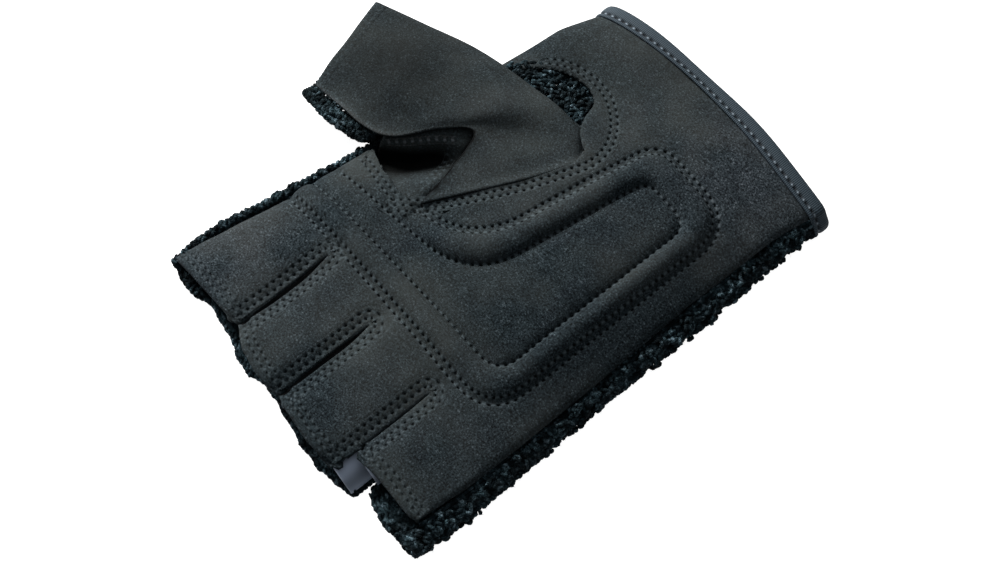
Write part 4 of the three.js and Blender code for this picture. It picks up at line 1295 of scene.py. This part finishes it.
lump_gain = add_node(
    yarn_tree,
    "ShaderNodeMapRange",
    values={"From Min": 0.4, "From Max": 0.66, "To Min": 0.45, "To Max": 1.65},
    links={"Value": lumps.outputs["Fac"]},
)
yarn_lumped = add_node(
    yarn_tree,
    "ShaderNodeVectorMath",
    settings={"operation": "SCALE"},
    links={"Vector": yarn_tone.outputs["Color"], "Scale": lump_gain.outputs["Result"]},
)
yarn_bump = add_node(
    yarn_tree,
    "ShaderNodeBump",
    values={"Strength": 0.7, "Distance": 0.00022},
    links={"Height": yarn_height.outputs["Value"]},
)
yarn_tree.links.new(yarn_lumped.outputs["Vector"], yarn_shader.inputs["Base Color"])
yarn_tree.links.new(yarn_bump.outputs["Normal"], yarn_shader.inputs["Normal"])
yarn_shader.inputs["Specular IOR Level"].default_value = 0.03

shares = np.linspace(0, 1, 600)
across_run = run_of(back_point(shares, 0.0))
back_width = across_run[-1]
HALF_THICK = 1.05


def back_frame(round_mm, y):
    """Middle of the crochet's thickness and its outward normal, at millimetres round the glove."""
    share = np.interp(round_mm, across_run, shares)
    step = 0.004
    low, high = np.clip(share - step, 0, 1), np.clip(share + step, 0, 1)
    point = back_point(share, y)
    by_share = back_point(high, y) - back_point(low, y)
    normal = unit(np.stack([by_share[:, 2], np.zeros(len(point)), -by_share[:, 0]], 1))
    return point - normal * HALF_THICK, normal


def on_back(point):
    """Whether points are inside the back's cut outline, clear of the slits between the fingers."""
    x, y = point[:, 0], point[:, 1]
    inside = y < np.interp(x, BACK_ENDS[:, 0], BACK_ENDS[:, 1]) - 0.9
    for _, back_line, crotch, _ in SLITS.values():
        inside &= (np.abs(x - back_line) > 1.5) | (y < crotch - 1.0)
    return inside


FINE_STEP, COARSE_STEP = 0.50, 0.78
chain_count = int(back_width / CHAIN["apart"])
roll_yarns, edge_yarns, odd_yarns, even_yarns = (YarnSet() for _ in range(4))
for k in range(chain_count + 1):
    rolled, lipped = k <= 6, k >= chain_count - 3
    y = np.arange(-86.0, NET_TO, FINE_STEP if rolled or lipped else COARSE_STEP)
    lean = parting(y + 2.0, ROLL_PERIOD if rolled else BACK_PERIOD) * (1 if k % 2 else -1)
    lean = lean * np.clip((60 - y) / 5, 0, 1)
    round_mm = CHAIN["apart"] * (k + 0.25) + lean * (1.05 if rolled else 0.8)
    centre, normal = back_frame(np.clip(round_mm, 0.2, back_width - 0.2), y)
    target = odd_yarns if k % 2 else even_yarns
    target = roll_yarns if rolled else edge_yarns if lipped else target
    for part in runs_of(on_back(centre)):
        target.add_chain(centre[part], normal[part], 1.0, 0.37 * k, 1 - 0.3 * np.abs(lean[part]))

# Under the roll's chains a plain yarn zigzags from one to the next and closes the net.
ROLL_FILLERS, FILLERS_APART = 15, 1.55
for k in range(ROLL_FILLERS):
    y = np.arange(NET_FROM, NET_TO, 0.55)
    round_mm = FILLERS_APART * (k + 0.5) + 0.75 * np.sin(y * 2.1 + 1.7 * k)
    centre, normal = back_frame(np.clip(round_mm, 0.2, back_width), y)
    for part in runs_of(on_back(centre)):
        path = centre[part] - normal[part] * 0.85
        roll_yarns.add_yarn(path, normal[part], FILLER["roll"])

# Its edges: a heavier chain round every finger's end, up both sides of each slit and along the
# index finger's side, where it stands out past the suede.
EDGE_SIZE = 1.12
EDGE_POINTS = 900
EDGE_ENDS = {"index_middle": (65.0, 65.0), "middle_ring": (67.2, 67.2), "ring_little": (64.2, 69.0)}
edge_shares = np.linspace(0, 1, EDGE_POINTS)
edge_y = np.full(EDGE_POINTS, 66.0)
for _ in range(3):
    edge_x = back_point(edge_shares, edge_y)[:, 0]
    edge_y = np.interp(edge_x, BACK_ENDS[:, 0], BACK_ENDS[:, 1]) - 0.6
edge_y = edge_y + wrinkles(edge_x, edge_y, 3.2, 0.9, 9.4)
centre, normal = back_frame(np.interp(edge_shares, shares, across_run), edge_y)
clear = np.abs(centre[:, 0] - SLITS["ring_little"][1]) > 0.9
for part in runs_of(clear):
    for row, drop in enumerate((0.0, 2.1, 4.2)):
        shifted = (centre[part] - np.array((0, drop, 0)) - normal[part] * 0.25 * row)[::2]
        edge_yarns.add_chain(shifted, normal[part][::2], EDGE_SIZE, 0.2 + 0.3 * row)
    for drop in np.arange(0.7, 16.5, 1.3):
        shifted = (centre[part] - np.array((0, drop, 0)) - normal[part] * 0.75)[::2]
        shifted[:, 1] += 0.4 * np.sin(shifted[:, 0] * 2.3 + drop)
        edge_yarns.add_yarn(shifted, normal[part][::2], FILLER["ends"])
for name, (_, back_line, crotch, _) in SLITS.items():
    left_end, right_end = EDGE_ENDS[name]
    reach = 1.3
    turn = np.linspace(np.pi, 2 * np.pi, 9)
    bend = np.stack([back_line + reach * np.cos(turn), crotch + reach * np.sin(turn)], 1)
    sides = [(back_line - reach, left_end)], bend, [(back_line + reach, right_end)]
    path = evenly(np.concatenate(sides), 120)
    centre = np.stack([path[:, 0], path[:, 1], np.full(len(path), HALF_THICK)], 1)
    normal = np.tile((0.0, 0.0, -1.0), (len(path), 1))
    edge_yarns.add_chain(centre, normal, 1.0, 0.1)
for round_at, last in ((0.4, 65.6), (back_width - 0.5, 63.0), (back_width - 2.4, 63.0)):
    y = np.arange(NET_FROM, last, FINE_STEP)
    centre, normal = back_frame(np.full(len(y), round_at), y)
    edge_yarns.add_chain(centre, normal, EDGE_SIZE, 0.6)

# Plain yarn closes the net inside the cuff, and where it meets the suede along the index finger.
for y_row in np.arange(-85.4, -71, 1.2):
    across_cuff = np.linspace(23.0, back_width - 0.3, 140)
    centre, normal = back_frame(across_cuff, y_row + 0.4 * np.sin(across_cuff * 2.3 + y_row))
    even_yarns.add_yarn(centre - normal * 0.75, normal, FILLER["cuff"])
for inward in (0.0, 1.6):
    y = np.arange(NET_FROM, 63.0, 0.6)
    centre, normal = back_frame(back_width - 0.6 - inward + 0.5 * np.sin(y * 2.1), y)
    even_yarns.add_yarn(centre - normal * 0.75, normal, FILLER["index"])

# One more runs close under the suede's edge along the little finger's side.
y = np.arange(NET_FROM, 62.0, 0.8)
centre, normal = back_frame(np.full(len(y), 0.3), y)
even_yarns.add_yarn(centre + (0.7, 0.0, 0.8), normal, FILLER["seam"])

# Knots: small loops that stand up from the chains on the roll, along the index finger and round
# the fingers' ends, as if the hook had pulled them up. The roll's holes are left clear of them.
chance = random.Random(11)
knots = YarnSet()
for first, last, low, high, count in (
    (NET_FROM, 65.0, 0.2, 12.5, 1500),
    (-30.0, 63.0, back_width - 3.2, back_width - 0.2, 420),
):
    spots = [(chance.uniform(low, high), chance.uniform(first, last)) for _ in range(count)]
    spots = np.array(spots)
    centre, normal = back_frame(spots[:, 0], spots[:, 1])
    in_hole = np.abs(parting(spots[:, 1] + 2.0, ROLL_PERIOD)) > 0.7
    in_hole &= np.abs(spots[:, 0] - 6.6) < 2.0
    inside = on_back(centre) & ~in_hole
    lump = 0.3 + np.clip(wrinkles(spots[:, 1], spots[:, 0], 3.6, 2.2, 2.2), 0, 0.9)
    knots.add_knots((centre + normal * lump[:, None])[inside], normal[inside], chance)
end_centre, _ = back_frame(np.interp(edge_shares, shares, across_run), edge_y)
spots = [i for i in range(EDGE_POINTS) if clear[i] and i % 2]
forward = np.array((0.0, 0.75, 0.45))
jitter = np.array([(0, chance.uniform(-1.2, 0.5), chance.uniform(-0.2, 0.8)) for _ in spots])
knots.add_knots(end_centre[spots] + jitter, np.tile(forward, (len(spots), 1)), chance)
knots_piece = knots.piece("crochet_knots", yarn, "back_crochet")

roll_piece = roll_yarns.piece("crochet_roll", yarn, "back_crochet")
edge_piece = edge_yarns.piece("crochet_edges", yarn, "back_crochet")
odd_piece = odd_yarns.piece("crochet_back_odd_chains", yarn, "back_crochet")
even_piece = even_yarns.piece("crochet_back_even_chains", yarn, "back_crochet")
for piece in (roll_piece, edge_piece, knots_piece, odd_piece, even_piece):
    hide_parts("back_crochet")

# Thumb crochet: the same chains along the underside of the thumb, and a strip of them that fills
# the cuff side of the thumb hole.
THUMB_UNDER = np.array(
    [
        [[50.0, -39.6, 11.2], [53.4, -29.0, 5.7], [54.8, -17.0, 5.6], [56.0, -6.0, 6.4],
         [56.6, 0.0, 9.4], [56.2, -0.8, 13.8]],
        [[63.2, -36.0, 7.2], [62.6, -26.0, 5.0], [61.8, -16.0, 4.8], [61.6, -3.4, 5.2],
         [61.4, 3.0, 9.2], [61.0, 1.0, 12.8]],
        [[77.4, -31.4, 3.8], [75.8, -23.0, 1.6], [74.2, -14.0, 1.4], [72.8, -1.6, 2.0],
         [72.0, 4.7, 7.4], [71.4, 1.9, 10.3]],
        [[93.8, -26.8, 2.3], [91.6, -18.6, 0.6], [89.8, -12.0, 0.6], [86.6, -1.8, 1.0],
         [84.4, 4.2, 5.8], [83.4, 1.8, 8.0]],
    ]
)  # fmt: skip
STRIP_OUTLINE = np.array(
    [(9.6, -36.4), (10.0, -45.0), (14.6, -51.0), (20.2, -58.4), (30.5, -60.8), (40.2, -58.2),
     (48.2, -51.6), (52.6, -42.0), (51.6, -36.4), (40.0, -38.0), (30.0, -40.6), (19.0, -37.0)]
)  # fmt: skip


def under_frame(along, across):
    """Middle of the thumb crochet's thickness and its outward normal."""
    point, normal, _, _ = frame_on(lambda a, c: table_point(THUMB_UNDER, a, c), along, across)
    return point - normal * HALF_THICK, normal


def strip_sag(y):
    """How far the strip in the thumb hole has sunk at its sides."""
    return 0.7 * ((y + 49) / 9) ** 2


thumb_yarns = YarnSet()
UNDER_CHAINS, UNDER_FILLERS, UNDER_LENGTH = 15, 22, 38
STRIP_CHAINS, STRIP_FILLERS = 10, 18
for k in range(UNDER_CHAINS):
    along = np.linspace(0, 0.985, 84)
    lean = parting(along * UNDER_LENGTH, BACK_PERIOD) * (1 if k % 2 else -1)
    across = np.clip((k + 0.5 + lean * 0.25) / UNDER_CHAINS, 0.01, 0.99)
    centre, normal = under_frame(along, across)
    thumb_yarns.add_chain(centre, normal, 1.0, 0.37 * k, 1 - 0.3 * np.abs(lean))
for k in range(UNDER_FILLERS):
    along = np.linspace(0.02, 0.97, 70)
    across = (k + 0.5 + 0.45 * np.sin(along * 80 + 1.7 * k)) / UNDER_FILLERS
    centre, normal = under_frame(along, np.clip(across, 0.01, 0.99))
    thumb_yarns.add_yarn(centre - normal * 0.7, normal, FILLER["thumb"])
for along, across in (
    (np.full(90, 0.99), np.linspace(0.0, 1, 90)),
    (np.linspace(0, 1, 90), np.full(90, 0.99)),
    (np.linspace(0, 1, 90), np.full(90, 0.01)),
):
    centre, normal = under_frame(along, across)
    thumb_yarns.add_chain(centre, normal, EDGE_SIZE, 0.4)
for k in range(STRIP_CHAINS):
    x = np.arange(9.0, 53.0, FINE_STEP)
    lean = parting(x, 6.2) * (1 if k % 2 else -1)
    y = -59.6 + 2.5 * k + lean * 0.9 + 0.12 * (x - 30)
    centre = np.stack([x, y, 11.7 - strip_sag(y)], 1)
    normal = np.stack([np.zeros(len(x)), 0.155 * (y + 49) / 9, np.ones(len(x))], 1)
    normal /= np.linalg.norm(normal, axis=1, keepdims=True)
    for part in runs_of(inside_loop(STRIP_OUTLINE, x, y)):
        narrow = 1 - 0.3 * np.abs(lean[part])
        thumb_yarns.add_chain(centre[part], normal[part], 1.0, 0.3 * k, narrow)
for k in range(STRIP_FILLERS):
    x = np.arange(9.0, 53.0, 0.6)
    y = -60.0 + 1.4 * k + 0.6 * np.sin(x * 2.2 + 1.7 * k) + 0.12 * (x - 30)
    centre = np.stack([x, y, 10.9 - strip_sag(y)], 1)
    normal = np.tile((0.0, 0.0, 1.0), (len(centre), 1))
    for part in runs_of(inside_loop(STRIP_OUTLINE, x, y)):
        thumb_yarns.add_yarn(centre[part], normal[part], FILLER["thumb"])
spots = np.array([(chance.uniform(15, 52), chance.uniform(-59, -37)) for _ in range(800)])
spots = spots[inside_loop(STRIP_OUTLINE, spots[:, 0], spots[:, 1])]
centre = np.stack([spots[:, 0], spots[:, 1], 12.2 - strip_sag(spots[:, 1])], 1)
thumb_yarns.add_knots(centre, np.tile((0.0, 0.0, 1.0), (len(centre), 1)), chance)
spots = [(chance.uniform(0.93, 1.0), chance.uniform(0, 1)) for _ in range(260)]
spots += [(chance.uniform(0.05, 1.0), chance.uniform(0.76, 1.0)) for _ in range(260)]
spots = np.array(spots)
centre, normal = under_frame(spots[:, 0], spots[:, 1])
thumb_yarns.add_knots(centre + normal * 0.3, normal, chance)
thumb_crochet_piece = thumb_yarns.piece("thumb_crochet_chains", yarn, "thumb_crochet")
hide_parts("thumb_crochet")

# Loose fibre: short ends of cotton that stand off the yarn wherever it shows.
FIBRE = {"count": 9500, "thick": 0.045, "short": 0.3, "long": 0.95}
woolly = roll_yarns, edge_yarns, knots, thumb_yarns
points = np.concatenate([part for yarns in woolly for part in yarns.points])
outs = np.concatenate([part for yarns in woolly for part in yarns.outs])
shown = (points[:, 0] < -37.5) | (points[:, 1] > 61) | (points[:, 0] > 57) | (points[:, 2] > 10.5)
shown &= outs[:, 2] > -0.6
points, outs = points[shown], outs[shown]
draw = np.random.default_rng(5)
pick = draw.integers(0, len(points), FIBRE["count"])
root, out = points[pick] - outs[pick] * 0.1, outs[pick]
length = draw.uniform(FIBRE["short"], FIBRE["long"], (len(pick), 1))
tip = root + (out * 0.8 + draw.normal(0, 0.6, root.shape)) * length
aside = np.cross(out, draw.normal(0, 1, root.shape))
aside /= np.linalg.norm(aside, axis=1, keepdims=True) + 1e-9
other = np.cross(out, aside)
thirds = [aside * math.cos(a) + other * math.sin(a) for a in (0, 2 * math.pi / 3, 4 * math.pi / 3)]
fibre_points = np.stack([root + third * FIBRE["thick"] for third in thirds] + [tip], 1)
fibre_points = fibre_points.reshape(-1, 3)
fibre_points[:, 2] = np.maximum(fibre_points[:, 2], 0.02)
base = 4 * np.arange(len(pick))[:, None]
sides = (0, 1, 3), (1, 2, 3), (2, 0, 3), (2, 1, 0)
fibre_faces = np.concatenate([base + np.array(side) for side in sides])
fibres = mesh_piece("crochet_loose_fibre", fibre_points, fibre_faces, yarn)
fibres.data.uv_layers.new(name="yarn")
